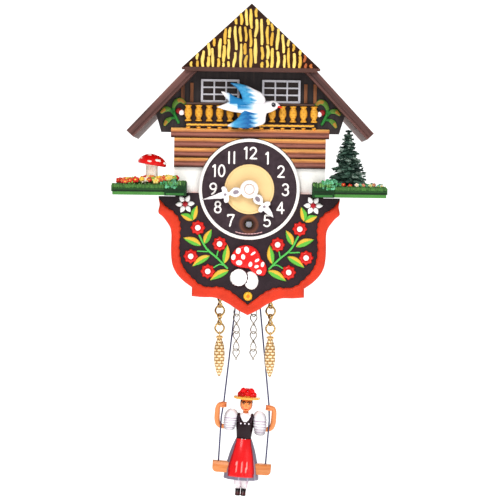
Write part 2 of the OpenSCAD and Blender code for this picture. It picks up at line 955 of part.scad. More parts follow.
module cannon_pinion() {
  color(brass) rel() difference() {
    union() {
      pinion(0, 0, 40.6, 42, 12, cannon_m, 0.7, 0);
      pin(0, 0, 42, 54.9, 1.5);
    }
    pin(0, 0, 40, 56, arbor_r + 0.01);
  }
}

module minute_wheel() {
  p36 = mate(0, 0, 12, 36);
  color(brass) rel() difference() {
    union() {
      wheel(post_x, 0, 40.7, 41.6, 36, cannon_m, 0.5, p36, 0.7, 2.6, 4.4, 0);
      pinion(post_x, 0, 41.6, 43.6, 10, motion_m, 0.7, 0);
    }
    pin(post_x, 0, 40, 45, 0.8 + run_c);
  }
}

module hour_wheel() {
  p40 = mate(180, 0, 10, 40);
  color(brass) rel() difference() {
    union() {
      wheel(0, 0, 42.3, 43.3, 40, motion_m, 0.5, p40, 1, 2.6, 4.4, 0);
      pin(0, 0, 42.3, 53.1, 2.4);
    }
    pin(0, 0, 42, 54, 1.5 + run_c);
  }
}

module third_wheel() {
  a = atan2(third_z, third_x);
  p6 = mate(a, 0, 72, 6);
  color(brass) rel() {
    pin(third_x, third_z, 19.9, 40.6, arbor_r);
    pinion(third_x, third_z, 34.4, 36.6, 6, centre_m, 0.7, p6);
    wheel(third_x, third_z, 26, 27, 75, third_m, 0.5, 0, 0.7, 3, third_m * 37.5 - 2, 4);
  }
}

module escape_wheel() {
  n = 30;
  a = atan2(escape_z - third_z, -third_x);
  p6 = mate(a, 0, 75, 6);
  color(brass) rel() {
    pin(0, escape_z, 19.9, 40.6, arbor_r);
    pinion(0, escape_z, 25.2, 27.8, 6, third_m, 0.7, p6);
    difference() {
      translate([0, 0, escape_z]) flat(30, 31) polygon(
        [for (i = [0:n - 1]) each [
          7.5 * [cos(360 * i / n), sin(360 * i / n)],
          6.1 * [cos(360 * (i + 0.3) / n), sin(360 * (i + 0.3) / n)],
          6.1 * [cos(360 * (i + 0.6) / n), sin(360 * (i + 0.6) / n)]]]);
      for (i = [0:3]) {
        translate([0, 0, escape_z])
          flat(29, 32)
            rotate(90 * i + 45)
              window(2.2, 5.2, 45);
      }
    }
  }
}

// Recoil anchor, its arbor, the crank that drives the bird, and the pin on the crank.
module anchor() {
  color(steel) rel() {
    pin(0, pallet_z, 14, 43.6, 0.9);
    difference() {
      flat(30, 31) translate([0, pallet_z]) polygon(concat(
        [[-1.4, 0.8], [-6.9, -4.2], [-6.75, -5.15], [-6.2, -4.75]],
        arc([0, -10.5], 8.75, 131, 49, 8),
        [[6.2, -4.75], [6.75, -5.15], [6.9, -4.2], [1.4, 0.8]]));
      pin(0, pallet_z, 29, 32, 0.5);
    }
    difference() {
      bx(-0.8, 0.8, 42.4, 43.4, pallet_z, 39.3);
      pin(0, pallet_z, 42, 44, 0.5);
    }
    pin(0, 38.5, 43, 44.6, 0.5);
  }
}

// Crank on the bird's arbor, forked over the pin of the anchor's crank.
module bird_lever() {
  color(steel) rel() {
    pin(0, bird_z, 43.5, 53.4, 0.9);
    difference() {
      bx(-1.5, 1.5, 43.5, 44.6, 37.4, bird_z + 1.6);
      bx(-0.56, 0.56, 43, 45, 36, 39.4);
      pin(0, bird_z, 43, 45, 0.5);
    }
  }
}

// ---- hands ----

// An ornate hand pointing up: hub ring, eye, trefoil and spear.
module hand_shape(l, eye, tre, lobe, bore) {
  difference() {
    union() {
      circle(r = bore + 1.5, $fn = 40);
      translate([-0.9, 0]) square([1.8, tre]);
      polygon(leaf_pts(eye + 3.9, 5, 14));
      for (a = [-58, 0, 58]) {
        translate([0, tre]) rotate(a) translate([0, lobe - 1.5]) circle(r = 1.5, $fn = 20);
      }
      polygon([[-1.7, tre - 1.6], [1.7, tre - 1.6], [2.9, tre + 1.4], [-2.9, tre + 1.4]]);
      polygon([[-1.3, tre + 1], [1.3, tre + 1], [1, l - 4.4], [1.7, l - 3.4], [0, l], [-1.7, l - 3.4],
        [-1, l - 4.4]]);
    }
    translate([0, eye - 2.2]) polygon(leaf_pts(4.6, 2.6, 10));
    translate([0, tre + 0.7]) circle(r = 0.7, $fn = 20);
  }
}

module hour_hand() {
  color(white) rel() difference() {
    flat(52.1, 53.1) rotate(-hour_a) hand_shape(hour_l, 6.5, 11.7, 3.4, 2.4);
    pin(0, 0, 51, 55, 2.4);
  }
}

module minute_hand() {
  color(white) rel() difference() {
    flat(53.9, 54.9) rotate(-minute_a) hand_shape(minute_l, 7.3, 12.6, 4, 1.5);
    pin(0, 0, 53, 56, 1.5);
  }
}

module hand_nut() {
  color(white) rel() translate([0, -54.9, 0]) rotate([90, 0, 0]) rotate_extrude($fn = 48) polygon([
    [0, 0],
    [4.6, 0],
    [4.6, 0.5],
    [3.6, 1.3],
    [1.7, 1.7],
    [1.7, 2.6],
    [0, 2.9]]);
}

// ---- pendulum, swing and doll ----

hook_d = swing_d;

module pendulum_wire() {
  color(steel) rel() {
    difference() {
      pin(0, pallet_z, 15, 17.4, 1.9);
      pin(0, pallet_z, 14, 18, 0.9);
    }
    rod([0, -hook_d, pallet_z - 1.6], [0, -hook_d, 3], 0.6);
    translate([0, -hook_d, 1.5]) rotate([90, 0, 0]) rotate_extrude($fn = 32)
      translate([1.5, 0]) circle(r = 0.5, $fn = 16);
  }
}

// The plane of the doll, a little behind the front, with x and height as seen there.
module swung() {
  translate([0, -swing_d, dial_z]) scale(swing_k) children();
}

// The seat and doll lean about the middle between the hands.
module leaned() {
  translate([0, 0, -115]) rotate([0, swing_lean, 0]) translate([0, 0, 115]) children();
}

function leant(x, z) = [
  x * cos(swing_lean) + (z + 115) * sin(swing_lean),
  -115 - x * sin(swing_lean) + (z + 115) * cos(swing_lean)];

module cord(s) {
  a = leant(s * 12.1, -114.6);
  b = leant(s * 12.9, -123);
  c = leant(s * 12.6, seat_z + 1);
  rod([s * 0.2, 0, -1.3], [a[0], 0, a[1]], cord_r);
  ball([a[0], 0, a[1]], cord_r * 1.25);
  rod([a[0], 0, a[1]], [b[0], 0, b[1]], cord_r);
  ball([b[0], 0, b[1]], cord_r * 1.25);
  rod([b[0], 0, b[1]], [c[0], 0, c[1]], cord_r);
  ball([c[0], 0, c[1]], cord_r * 2);
}

module swing_cords() {
  color([0.25, 0.27, 0.4]) swung() {
    cord(-1);
    cord(1);
    rotate([90, 0, 90]) rotate_extrude($fn = 32) translate([1.1, 0]) circle(r = cord_r, $fn = 16);
    ball([0, 0, -1.5], cord_r * 1.9);
  }
}

module swing_seat() {
  color([0.88, 0.48, 0.2]) swung() leaned() difference() {
    union() {
      translate([-12.6, 0, seat_z]) cylinder(h = seat_t, r = 3.2);
      translate([12.6, 0, seat_z]) cylinder(h = seat_t, r = 3.2);
      translate([-12.6, -3.2, seat_z]) cube([25.2, 6.4, seat_t]);
    }
    for (s = [-1, 1]) {
      translate([s * 12.63, 0, seat_z - 1]) cylinder(h = seat_t + 2, r = cord_r + 0.1);
      translate([s * 12.63, 0, seat_z - 1]) cylinder(h = 2.9, r = 1.05);
    }
  }
}

module doll_head() {
  color([0.95, 0.7, 0.5]) swung() leaned() {
    difference() {
      ball([0, -0.6, -115.4], 4.5);
      translate([-3, -4, -121]) cube([6, 8, 1.3]);
    }
    translate([0, 0.6, -112.3]) rotate_extrude($fn = 48) polygon([
      [0, 0],
      [7.1, 0],
      [7.1, 1.7],
      [4.4, 1.9],
      [4.1, 4],
      [0, 4.4]]);
    ball([-2.6, -0.6, -108.6], 2.5);
    ball([2.6, -0.6, -108.7], 2.45);
    ball([-3.4, 1.2, -116.2], 2.9);
    ball([3.4, 1.25, -116.2], 2.85);
  }
}

module doll_arm(s) {
  difference() {
    union() {
      ball([s * 7.3, 0, -123.4], 3.5);
      ball([s * 8.7, 0.3, -127.1], 2.9);
      rod([s * 9.4, 1.9, -127.7], [s * 14.2, 1.95, -126.3], 1.3);
      ball([s * 14.2, 1.95, -126.3], 1.5);
      rod([s * 14.2, 1.95, -126.3], [s * 15.1, 1.8, -119.6], 1.28);
      ball([s * 15.1, 1.8, -119.6], 1.46);
      rod([s * 15.1, 1.8, -119.6], [s * 12.9, 0.7, -116.7], 1.24);
      ball([s * 12.5, 0.15, -116.3], 1.9);
    }
    rod([s * 11.9, 0, -112.3], [s * 12.85, 0, -122.2], cord_r + 0.3);
    translate([0, 0, -136]) cylinder(h = 18.5, r = 5.3);
  }
}

module doll_arms() {
  color([0.95, 0.94, 0.92]) swung() leaned() {
    doll_arm(-1);
    doll_arm(1);
  }
}

module doll_body() {
  color([0.6, 0.2, 0.25]) swung() leaned() difference() {
    scale([1.25, 1, 1]) rotate_extrude($fn = 40) polygon([
      [0, -155.6],
      [6.6, -155.6],
      [7.4, -154.6],
      [6.9, -148],
      [5.6, -141],
      [3.4, -133.2],
      [3.4, -131],
      [4.1, -124],
      [3.6, -120.8],
      [1.7, -120],
      [1.7, -119.7],
      [0, -119.7]]);
    translate([-18, -3.3, seat_z - 0.1]) cube([36, 6.6, seat_t + 0.2]);
  }
}

module doll_leg(s) {
  translate([s * 1.7, 0, -162.3]) cylinder(h = 6.7, r = 1.55);
  translate([s * 1.6, 1.9, -162.7]) rotate([90, 0, 0]) rotate_extrude($fn = 32) polygon([
    [0, 0],
    [0.9, 0.15],
    [1.5, 1.1],
    [1.5, 4.2],
    [1, 5.1],
    [0, 5.4]]);
}

module doll_legs() {
  color([0.2, 0.18, 0.2]) swung() leaned() {
    doll_leg(-1);
    doll_leg(1);
  }
}

// ---- bird ----

module bird() {
  color([0.2, 0.55, 0.85]) rel() translate([0, -53.4, bird_z]) {
    pin(0, 0, 0, 1.4, 2.2);
    flat(1, 2.4) {
      polygon([[7, 0.4], [5.6, 6.8], [-0.4, 9.8], [-10.9, 11.9], [-6, 7.6], [-3.6, 3], [-3, 0]]);
      polygon([[7.6, 0.4], [8.5, -9], [2, -10.4], [-12.4, -11.4], [-5, -6.4], [-2.4, -3], [-3, 0.4]]);
      polygon([[-4, 1.8], [-15.7, 7.2], [-12.6, 2.4], [-18.2, -1.2], [-11, -1.8], [-4, -1.8]]);
    }
    translate([-6, -2.2, 0]) rotate([0, 90, 0]) cylinder(h = 15, r1 = 1.2, r2 = 2.4);
    ball([-6, -2.2, 0], 1.2);
    ball([9, -2.2, 0], 2.4);
    ball([12, -2.2, 0.2], 2.3);
    translate([13.6, -2.4, -0.1]) rotate([0, 96, 0]) cylinder(h = 3.2, r1 = 1, r2 = 0.2);
  }
}

// ---- chains ----

link_w = 0.42;
chain_top = -53.25;

// One oval link, its length along z, lying in the plane turned by a.
module link(z, a) {
  r = 1.95;
  s = link_p + 1.65 - 2 * r - 2 * link_w;
  translate([0, 0, z]) rotate([0, 0, a]) {
    translate([0, 0, s / 2])
      rotate([90, 0, 0]) rotate_extrude(angle = 180, $fn = 32)
        translate([r, 0]) circle(r = link_w, $fn = 16);
    translate([0, 0, -s / 2])
      rotate([90, 180, 0]) rotate_extrude(angle = 180, $fn = 32)
        translate([r, 0]) circle(r = link_w, $fn = 16);
    translate([r, 0, -s / 2]) cylinder(h = s, r = link_w, $fn = 16);
    translate([-r, 0, -s / 2]) cylinder(h = s, r = link_w, $fn = 16);
  }
}

module chain(x, n, a0) {
  rel() translate([x + chain_mid, -chain_d, chain_top - 3.1]) for (i = [0:n - 1]) {
    link(-i * link_p, a0 + 90 * (i % 2));
  }
}

module chain_outer_left() {
  color(gold) chain(-chain_out, 5, 0);
}

module chain_outer_right() {
  color(gold) chain(chain_out, 5, 0);
}

module chain_inner_left() {
  color(gold) chain(-chain_in, 8, 45);
}

module chain_inner_right() {
  color(gold) chain(chain_in, 8, 45);
}

module chain_eyes() {
  color(steel) rel() for (x = [-chain_out, -chain_in, chain_in, chain_out]) {
    a = abs(x) > 8 ? 90 : -45;
    translate([x + chain_mid, -chain_d, 0]) {
      translate([0, 0, -52.05]) cylinder(h = 3.5, r = 0.5, $fn = 24);
      translate([0, 0, -53.2]) rotate([0, 0, a]) rotate([90, 0, 0]) rotate_extrude($fn = 32)
        translate([1.3, 0]) circle(r = 0.45, $fn = 16);
    }
  }
}

module cone(x) {
  rel() translate([x + chain_mid, -chain_d, -82.8]) {
    rotate_extrude($fn = 40) polygon([
      [0, 3.2],
      [0.9, 3.2],
      [2.2, 1.6],
      [2.9, -0.6],
      [2.5, -1],
      [2.95, -3.6],
      [2.6, -4],
      [2.95, -6.6],
      [2.5, -7],
      [2.8, -9.6],
      [2.4, -10],
      [2.5, -12.8],
      [2, -13.2],
      [1.6, -16.2],
      [0, -17.4]]);
    translate([0, 0, 4.53]) rotate([90, 0, 90]) rotate_extrude($fn = 32)
      translate([1.2, 0]) circle(r = 0.4, $fn = 16);
  }
}

module cone_weight_left() {
  color([0.3, 0.2, 0.14]) cone(-chain_out);
}

module cone_weight_right() {
  color([0.3, 0.2, 0.14]) cone(chain_out);
}

module back_screws() {
  color(brass) rel() for (x = [-1, 1]) {
    for (z = [-42, 44]) {
      pin(x * (box_half - 2), z, 0.1, 1, 1.7);
      pin(x * (box_half - 2), z, 1, back_t + 6, 0.6);
    }
  }
}

back_board();
case_side_left();
case_side_right();
case_floor();
roof_board_left();
roof_board_right();
hip_roof();
facade();
windows();
window_panes();
balcony_railing();
log_siding();
gable_leaves();
shield();
shield_relief();
dial_plate();
dial_ring();
dial_numbers();
dial_disc();
shelf_left();
shelf_right();
toadstool();
pine_tree();
flowers_left();
flowers_right();
front_plate();
back_plate();
pillars();
mainspring();
chain_eyes();
back_screws();
great_wheel();
winding_arbor();
ratchet_wheel();
click();
centre_wheel();
cannon_pinion();
minute_hand();
hand_nut();
hour_wheel();
hour_hand();
minute_wheel();
third_wheel();
escape_wheel();
anchor();
pendulum_wire();
swing_cords();
swing_seat();
doll_body();
doll_head();
doll_arms();
doll_legs();
bird();
bird_lever();
chain_outer_left();
chain_outer_right();
chain_inner_left();
chain_inner_right();
cone_weight_left();
cone_weight_right();
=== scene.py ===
import math
import random

import bmesh
import bpy
import numpy as np
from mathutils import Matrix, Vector
from mathutils.geometry import delaunay_2d_cdt


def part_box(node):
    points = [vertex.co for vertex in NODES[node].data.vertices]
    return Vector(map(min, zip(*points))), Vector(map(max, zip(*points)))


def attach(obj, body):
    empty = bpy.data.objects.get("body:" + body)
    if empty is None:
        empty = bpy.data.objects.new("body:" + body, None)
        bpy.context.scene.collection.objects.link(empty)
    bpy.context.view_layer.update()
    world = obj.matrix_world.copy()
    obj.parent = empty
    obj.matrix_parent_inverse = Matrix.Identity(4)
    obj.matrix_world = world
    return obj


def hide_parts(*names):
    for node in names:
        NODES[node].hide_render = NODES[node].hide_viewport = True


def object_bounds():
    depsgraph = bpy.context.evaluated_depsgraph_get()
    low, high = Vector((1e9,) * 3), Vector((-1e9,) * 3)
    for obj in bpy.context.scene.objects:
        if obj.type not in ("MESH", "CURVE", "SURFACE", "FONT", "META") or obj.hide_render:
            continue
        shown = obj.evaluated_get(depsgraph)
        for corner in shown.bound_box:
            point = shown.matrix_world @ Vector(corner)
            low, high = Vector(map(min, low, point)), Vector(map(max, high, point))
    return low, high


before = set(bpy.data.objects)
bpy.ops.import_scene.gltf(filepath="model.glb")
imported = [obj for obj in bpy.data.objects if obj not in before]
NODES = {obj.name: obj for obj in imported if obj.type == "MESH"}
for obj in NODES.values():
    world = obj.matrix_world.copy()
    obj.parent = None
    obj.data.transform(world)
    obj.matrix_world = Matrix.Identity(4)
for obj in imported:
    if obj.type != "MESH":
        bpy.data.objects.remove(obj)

CAD_LO, CAD_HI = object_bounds()
_lo, _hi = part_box("dial_ring")
DIAL_Z = (_lo[2] + _hi[2]) / 2
FACE = 48.0  # depth of the front board's face, in mm from the wall
SIN, COS, TAU = math.sin, math.cos, math.tau
RAD = math.radians


def at(x, z, d):
    """Scene metres from x, height above the dial's centre and depth from the wall, in mm."""
    return (x * 0.001, -d * 0.001, z * 0.001 + DIAL_Z)


def lin(c):
    """Linear colour from an sRGB triple of 0 to 255."""
    out = [v / 255 / 12.92 if v / 255 <= 0.04045 else ((v / 255 + 0.055) / 1.055) ** 2.4 for v in c]
    return (*out, 1.0)


# ---- materials ----


def noise(nt, vec, scale, detail=4, rough=0.55, dist=0.0):
    n = nt.nodes.new("ShaderNodeTexNoise")
    n.inputs["Scale"].default_value = scale
    n.inputs["Detail"].default_value = detail
    n.inputs["Roughness"].default_value = rough
    n.inputs["Distortion"].default_value = dist
    nt.links.new(vec, n.inputs["Vector"])
    return n.outputs["Fac"]


def ramp(nt, fac, stops):
    r = nt.nodes.new("ShaderNodeValToRGB")
    els = r.color_ramp.elements
    while len(els) < len(stops):
        els.new(0.5)
    for e, (p, c) in zip(els, stops):
        e.position = p
        e.color = c
    nt.links.new(fac, r.inputs["Fac"])
    return r.outputs["Color"]


def math_node(nt, op, a, b=0.0):
    n = nt.nodes.new("ShaderNodeMath")
    n.operation = op
    for i, v in enumerate((a, b)):
        if isinstance(v, (int, float)):
            n.inputs[i].default_value = v
        else:
            nt.links.new(v, n.inputs[i])
    return n.outputs[0]


def mix(nt, fac, a, b, blend="MIX"):
    n = nt.nodes.new("ShaderNodeMix")
    n.data_type = "RGBA"
    n.blend_type = blend
    for key, v in (("Factor", fac), ("A", a), ("B", b)):
        socket = next(s for s in n.inputs if s.name == key and s.enabled)
        if isinstance(v, (int, float, tuple)):
            socket.default_value = v
        else:
            nt.links.new(v, socket)
    return next(s for s in n.outputs if s.enabled)


M = {}


def start(name, key=None):
    """A new material, kept in M under its key, with its node tree, shader and object coordinates."""
    m = bpy.data.materials.new(name)
    M[key or name] = m
    m.use_nodes = True
    nt = m.node_tree
    bsdf = nt.nodes["Principled BSDF"]
    tc = nt.nodes.new("ShaderNodeTexCoord")
    return nt, bsdf, tc.outputs["Object"]


def mapped(nt, vec, scale, rot=(0, 0, 0)):
    """Turned by rot, then stretched by scale."""
    for key, value in (("Rotation", rot), ("Scale", scale)):
        n = nt.nodes.new("ShaderNodeMapping")
        n.inputs[key].default_value = value
        nt.links.new(vec, n.inputs["Vector"])
        vec = n.outputs["Vector"]
    return vec


def coloured(nt, bsdf, col):
    nt.links.new(col, bsdf.inputs["Base Color"])


def bumped(nt, bsdf, height, strength, dist):
    """Raised by height; dist is in metres."""
    b = nt.nodes.new("ShaderNodeBump")
    b.inputs["Strength"].default_value = strength
    b.inputs["Distance"].default_value = dist
    nt.links.new(height, b.inputs["Height"])
    nt.links.new(b.outputs["Normal"], bsdf.inputs["Normal"])


def rough_between(nt, bsdf, fac, lo, hi):
    r = nt.nodes.new("ShaderNodeMapRange")
    r.inputs["To Min"].default_value = lo
    r.inputs["To Max"].default_value = hi
    nt.links.new(fac, r.inputs["Value"])
    nt.links.new(r.outputs["Result"], bsdf.inputs["Roughness"])


def paint_mat(name, col=None, rough=0.42, var=0.14, vscale=90, bump=0.25, bscale=900, metal=0.0, coat=0.0,
              spec=0.4):
    """Painted or moulded plastic. Without col, the colour comes from the mesh's own paint attribute."""
    nt, bsdf, obj = start(name)
    patch = noise(nt, obj, vscale, 5)
    fine = noise(nt, obj, bscale, 3)
    if col is None:
        a = nt.nodes.new("ShaderNodeAttribute")
        a.attribute_name = "paint"
        base = a.outputs["Color"]
    else:
        base = lin(col)
    lo, hi = 1 - var, 1 + var * 0.6
    tint = ramp(nt, patch, [(0.28, (lo, lo, lo, 1)), (0.72, (hi, hi, hi, 1))])
    coloured(nt, bsdf, mix(nt, 1.0, base, tint, "MULTIPLY"))
    rough_between(nt, bsdf, patch, rough - 0.08, rough + 0.1)
    bumped(nt, bsdf, fine, bump, 0.0002)
    bsdf.inputs["Metallic"].default_value = metal
    bsdf.inputs["Coat Weight"].default_value = coat
    bsdf.inputs["Specular IOR Level"].default_value = spec


def wood_mat(name, dark, mid, light, stretch, rot=(0, 0, 0), scale=260, rough=0.55, bump=0.5):
    """Grain that runs along one axis after rot; stretch is the scale of each axis."""
    nt, bsdf, obj = start(name)
    v = mapped(nt, obj, stretch, rot)
    grain = noise(nt, v, scale, 8, 0.62, 0.4)
    big = noise(nt, v, scale * 0.16, 3, 0.5, 0.8)
    col = ramp(nt, grain, [(0.3, lin(dark)), (0.5, lin(mid)), (0.72, lin(light))])
    shade = ramp(nt, big, [(0.3, (0.72, 0.72, 0.72, 1)), (0.7, (1.12, 1.12, 1.12, 1))])
    coloured(nt, bsdf, mix(nt, 1.0, col, shade, "MULTIPLY"))
    rough_between(nt, bsdf, grain, rough - 0.1, rough + 0.15)
    bumped(nt, bsdf, grain, bump, 0.0003)


def metal_mat(name, col, rough=0.28, low=0.74, patches=130):
    """Brushed metal, patchy between its colour and a share of it."""
    nt, bsdf, obj = start(name)
    brush = noise(nt, obj, 1500, 3)
    patch = noise(nt, obj, patches, 4)
    base = ramp(nt, patch, [(0.3, tuple(low * c for c in lin(col)[:3]) + (1,)), (0.7, lin(col))])
    coloured(nt, bsdf, base)
    bsdf.inputs["Metallic"].default_value = 1.0
    rough_between(nt, bsdf, patch, rough - 0.06, rough + 0.14)
    bumped(nt, bsdf, brush, 0.12, 0.0001)


paint_mat("painted", spec=0.3)
paint_mat("glossy", rough=0.26, var=0.1, bump=0.15, coat=0.1, spec=0.3)
paint_mat("satin", rough=0.5, var=0.2, bump=0.4, spec=0.25)
paint_mat("dark", (56, 44, 49), 0.55, 0.24, 160, 0.5, 1400, spec=0.2)
paint_mat("white", (247, 243, 238), 0.36, 0.04, 60, 0.15, 800)
# the window bars are white, greyed all over as painted shade
paint_mat("white_bars_shaded", (204, 202, 208), 0.45, 0.12, 300, 0.3, 900)
paint_mat("cream", (240, 206, 150), 0.42, 0.07, 50, 0.12, 700)
paint_mat("pane", (50, 38, 36), 0.2, 0.35, 500, 0.2, 900, coat=0.15)
paint_mat("orange", (212, 62, 34), 0.5, 0.14, 150, 0.4, 900, spec=0.3)
metal_mat("brass", (214, 172, 92))
metal_mat("steel", (176, 176, 182))
metal_mat("blued", (86, 94, 120))
metal_mat("gold", (228, 190, 126), 0.24, low=0.36, patches=420)
metal_mat("silver", (200, 190, 176), 0.24, low=0.26, patches=380)
wood_mat("pine_box", (120, 78, 46), (176, 124, 78), (206, 158, 106), (1, 1, 0.06))
wood_mat("floor_wood", (120, 78, 46), (170, 120, 76), (200, 152, 102), (0.06, 1, 1))
ROOF_SLOPE = RAD(46.7)
for roof, slope in (("roof_l", ROOF_SLOPE), ("roof_r", -ROOF_SLOPE)):
    wood_mat(roof, (62, 38, 34), (106, 69, 63), (134, 94, 84), (0.05, 1, 1), (0, slope, 0))
paint_mat("trim", None, 0.55, 0.25, 200, 0.6, 700)
paint_mat("white_paint", None, 0.4, 0.04, 90, 0.15, 900)
paint_mat("white_gloss", None, 0.3, 0.05, 90, 0.12, 900, coat=0.3)
paint_mat("cone", None, 0.3, 0.12, 300, 0.2, 900, metal=0.35)
wood_mat("seat", (216, 120, 58), (234, 148, 86), (242, 170, 114), (0.08, 1, 1), scale=420, rough=0.36,
         bump=0.25)


PLASTER_LOW, PLASTER_HIGH = -0.0024, 0.0125  # metres above the dial's centre


def facade_mat():
    """White plaster in a band beside the dial, and dark stained boards above and below it."""
    nt, bsdf, obj = start("facade_paint", "facade")
    sep = nt.nodes.new("ShaderNodeSeparateXYZ")
    nt.links.new(obj, sep.inputs[0])
    y, z = sep.outputs["Y"], sep.outputs["Z"]
    grain = noise(nt, mapped(nt, obj, (1, 1, 0.09)), 420, 6, 0.6, 0.5)
    fine = noise(nt, obj, 1100, 3)
    boards = ramp(nt, grain, [(0.32, lin((36, 27, 28))), (0.56, lin((52, 43, 43))),
                              (0.76, lin((80, 60, 52)))])
    posts = ramp(nt, grain, [(0.3, lin((84, 48, 30))), (0.6, lin((146, 92, 54)))])
    soft = noise(nt, obj, 40, 4)
    plaster = ramp(nt, soft, [(0.3, lin((250, 246, 240))), (0.7, lin((255, 253, 249)))])
    above = math_node(nt, "GREATER_THAN", z, DIAL_Z + PLASTER_LOW)
    under = math_node(nt, "LESS_THAN", z, DIAL_Z + PLASTER_HIGH)
    band = math_node(nt, "MULTIPLY", above, under)
    raised = math_node(nt, "LESS_THAN", y, -0.001 * FACE - 0.0001)
    col = mix(nt, raised, boards, posts)
    coloured(nt, bsdf, mix(nt, band, col, plaster))
    bsdf.inputs["Roughness"].default_value = 0.6
    bumped(nt, bsdf, mix(nt, band, grain, fine), 0.5, 0.00025)


def log_mat():
    """Bands over each log's height, from the mesh's own band attribute: 0 at its foot, 1 at its top."""
    nt, bsdf, obj = start("log_paint", "log")
    a = nt.nodes.new("ShaderNodeAttribute")
    a.attribute_name = "band"
    streak = noise(nt, mapped(nt, obj, (0.07, 1, 1)), 700, 7, 0.65, 0.6)
    wander = noise(nt, mapped(nt, obj, (0.12, 1, 1)), 120, 3)
    shift = math_node(nt, "MULTIPLY", math_node(nt, "SUBTRACT", wander, 0.5), 0.32)
    t = math_node(nt, "ADD", a.outputs["Fac"], shift)
    # wood-coloured bands; the pale band at each log's top is a painted highlight
    col = ramp(nt, t, [
        (0.05, lin((56, 28, 26))), (0.14, lin((112, 64, 54))), (0.3, lin((154, 96, 82))),
        (0.5, lin((140, 82, 64))), (0.56, lin((92, 48, 36))), (0.62, lin((176, 108, 62))),
        (0.76, lin((208, 138, 76))), (0.84, lin((240, 184, 112)))])
    shade = ramp(nt, streak, [(0.3, (0.5, 0.45, 0.46, 1)), (0.5, (1, 1, 1, 1)), (0.8, (1.12, 1.1, 1.06, 1))])
    coloured(nt, bsdf, mix(nt, 1.0, col, shade, "MULTIPLY"))
    bsdf.inputs["Roughness"].default_value = 0.5
    bumped(nt, bsdf, streak, 0.45, 0.0003)


def cord_mat():
    nt, bsdf, obj = start("cord_twist", "cord")
    w = nt.nodes.new("ShaderNodeTexWave")
    w.inputs["Scale"].default_value = 420
    w.inputs["Distortion"].default_value = 1.5
    nt.links.new(mapped(nt, obj, (1, 1, 1), (RAD(35), 0, 0)), w.inputs["Vector"])
    fac = w.outputs["Fac"]
    coloured(nt, bsdf, ramp(nt, fac, [(0.2, lin((44, 44, 74))), (0.8, lin((92, 92, 126)))]))
    bsdf.inputs["Roughness"].default_value = 0.75
    bumped(nt, bsdf, fac, 0.6, 0.0001)


facade_mat()
log_mat()
cord_mat()


# ---- mesh building, all in mm as (x, height, depth) ----


NEUTRAL = (200, 200, 200)


class Geo:
    """Vertices, faces, colours and material numbers gathered from several shapes."""

    def __init__(self):
        self.v, self.f, self.c, self.m = [], [], [], []

    def add(self, verts, faces, col=None):
        """col is one colour, a list of them, or a function of the point."""
        n = len(self.v)
        self.v += [tuple(p) for p in verts]
        self.f += [tuple(i + n for i in f) for f in faces]
        if callable(col):
            col = [col(*p) for p in verts]
        self.c += col if isinstance(col, list) else [col or NEUTRAL] * len(verts)
        self.m += [0] * len(faces)


def build(name, geo, mat, body, rep=None, *, place=at, bevel=0.0, angle=35):
    """The piece geo describes. mat names its materials, rep the CAD node it stands for; bevel is in mm."""
    me = bpy.data.meshes.new(name)
    me.from_pydata([place(*p) for p in geo.v], [], geo.f)
    attr = me.color_attributes.new("paint", "FLOAT_COLOR", "POINT")
    linear = {c: lin(c) for c in set(geo.c)}
    attr.data.foreach_set("color", [v for c in geo.c for v in linear[c]])
    for key in mat.split():
        me.materials.append(M[key])
    me.polygons.foreach_set("material_index", geo.m)
    me.polygons.foreach_set("use_smooth", [True] * len(me.polygons))
    bm = bmesh.new()
    bm.from_mesh(me)
    bmesh.ops.recalc_face_normals(bm, faces=bm.faces)
    bm.to_mesh(me)
    bm.free()
    o = bpy.data.objects.new(name, me)
    bpy.context.scene.collection.objects.link(o)
    if bevel:
        b = o.modifiers.new("bevel", "BEVEL")
        b.width = bevel * 0.001
        b.segments = 3
        b.limit_method = "ANGLE"
        b.angle_limit = RAD(angle)
        me.set_sharp_from_angle(angle=RAD(50))
    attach(o, body)
    if rep:
        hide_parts(rep)
    return o


def grid_faces(nu, nv, close_u=False, close_v=False):
    """Four-sided faces over nu rows of nv points."""
    out = []
    for i in range(nu if close_u else nu - 1):
        for j in range(nv if close_v else nv - 1):
            a, b = i * nv + j, i * nv + (j + 1) % nv
            c, d = ((i + 1) % nu) * nv + (j + 1) % nv, ((i + 1) % nu) * nv + j
            out.append((a, b, c, d))
    return out


def skin(rows, n, foot=True, head=True):
    """Faces over closed rings of n points, with a cap on the first and the last."""
    faces = grid_faces(rows, n, False, True)
    if foot:
        faces.append(tuple(range(n))[::-1])
    if head:
        faces.append(tuple(range((rows - 1) * n, rows * n)))
    return faces


def prism(g, pts, d0, d1, col=None, side=0):
    """A flat outline filled from depth d0 to d1; side is the material number of its edge."""
    n = len(pts)
    v = [(x, z, d0) for x, z in pts] + [(x, z, d1) for x, z in pts]
    g.add(v, [tuple(range(n))[::-1], tuple(range(n, 2 * n))], col)
    base = len(g.v) - 2 * n
    for i in range(n):
        j = (i + 1) % n
        g.f.append((base + i, base + j, base + n + j, base + n + i))
        g.m.append(side)


def box(g, x0, x1, z0, z1, d0, d1, col=None):
    prism(g, [(x0, z0), (x1, z0), (x1, z1), (x0, z1)], d0, d1, col)


def side_box(g, s, x0, x1, *rest):
    """The same on the left, s = -1, or the right, s = 1."""
    box(g, *sorted((s * x0, s * x1)), *rest)


def angles(n):
    return [TAU * i / n for i in range(n)]


def circle(cx, cz, r, n=32, rz=None):
    return [(cx + r * COS(a), cz + (rz or r) * SIN(a)) for a in angles(n)]


def resample(pts, step, closed=True):
    """The same line with a point about every step mm."""
    out = []
    n = len(pts)
    for i in range(n if closed else n - 1):
        a, b = pts[i], pts[(i + 1) % n]
        k = max(1, int(math.dist(a, b) / step + 0.5))
        out += [(a[0] + (b[0] - a[0]) * t / k, a[1] + (b[1] - a[1]) * t / k) for t in range(k)]
    if not closed:
        out.append(pts[-1])
    return out


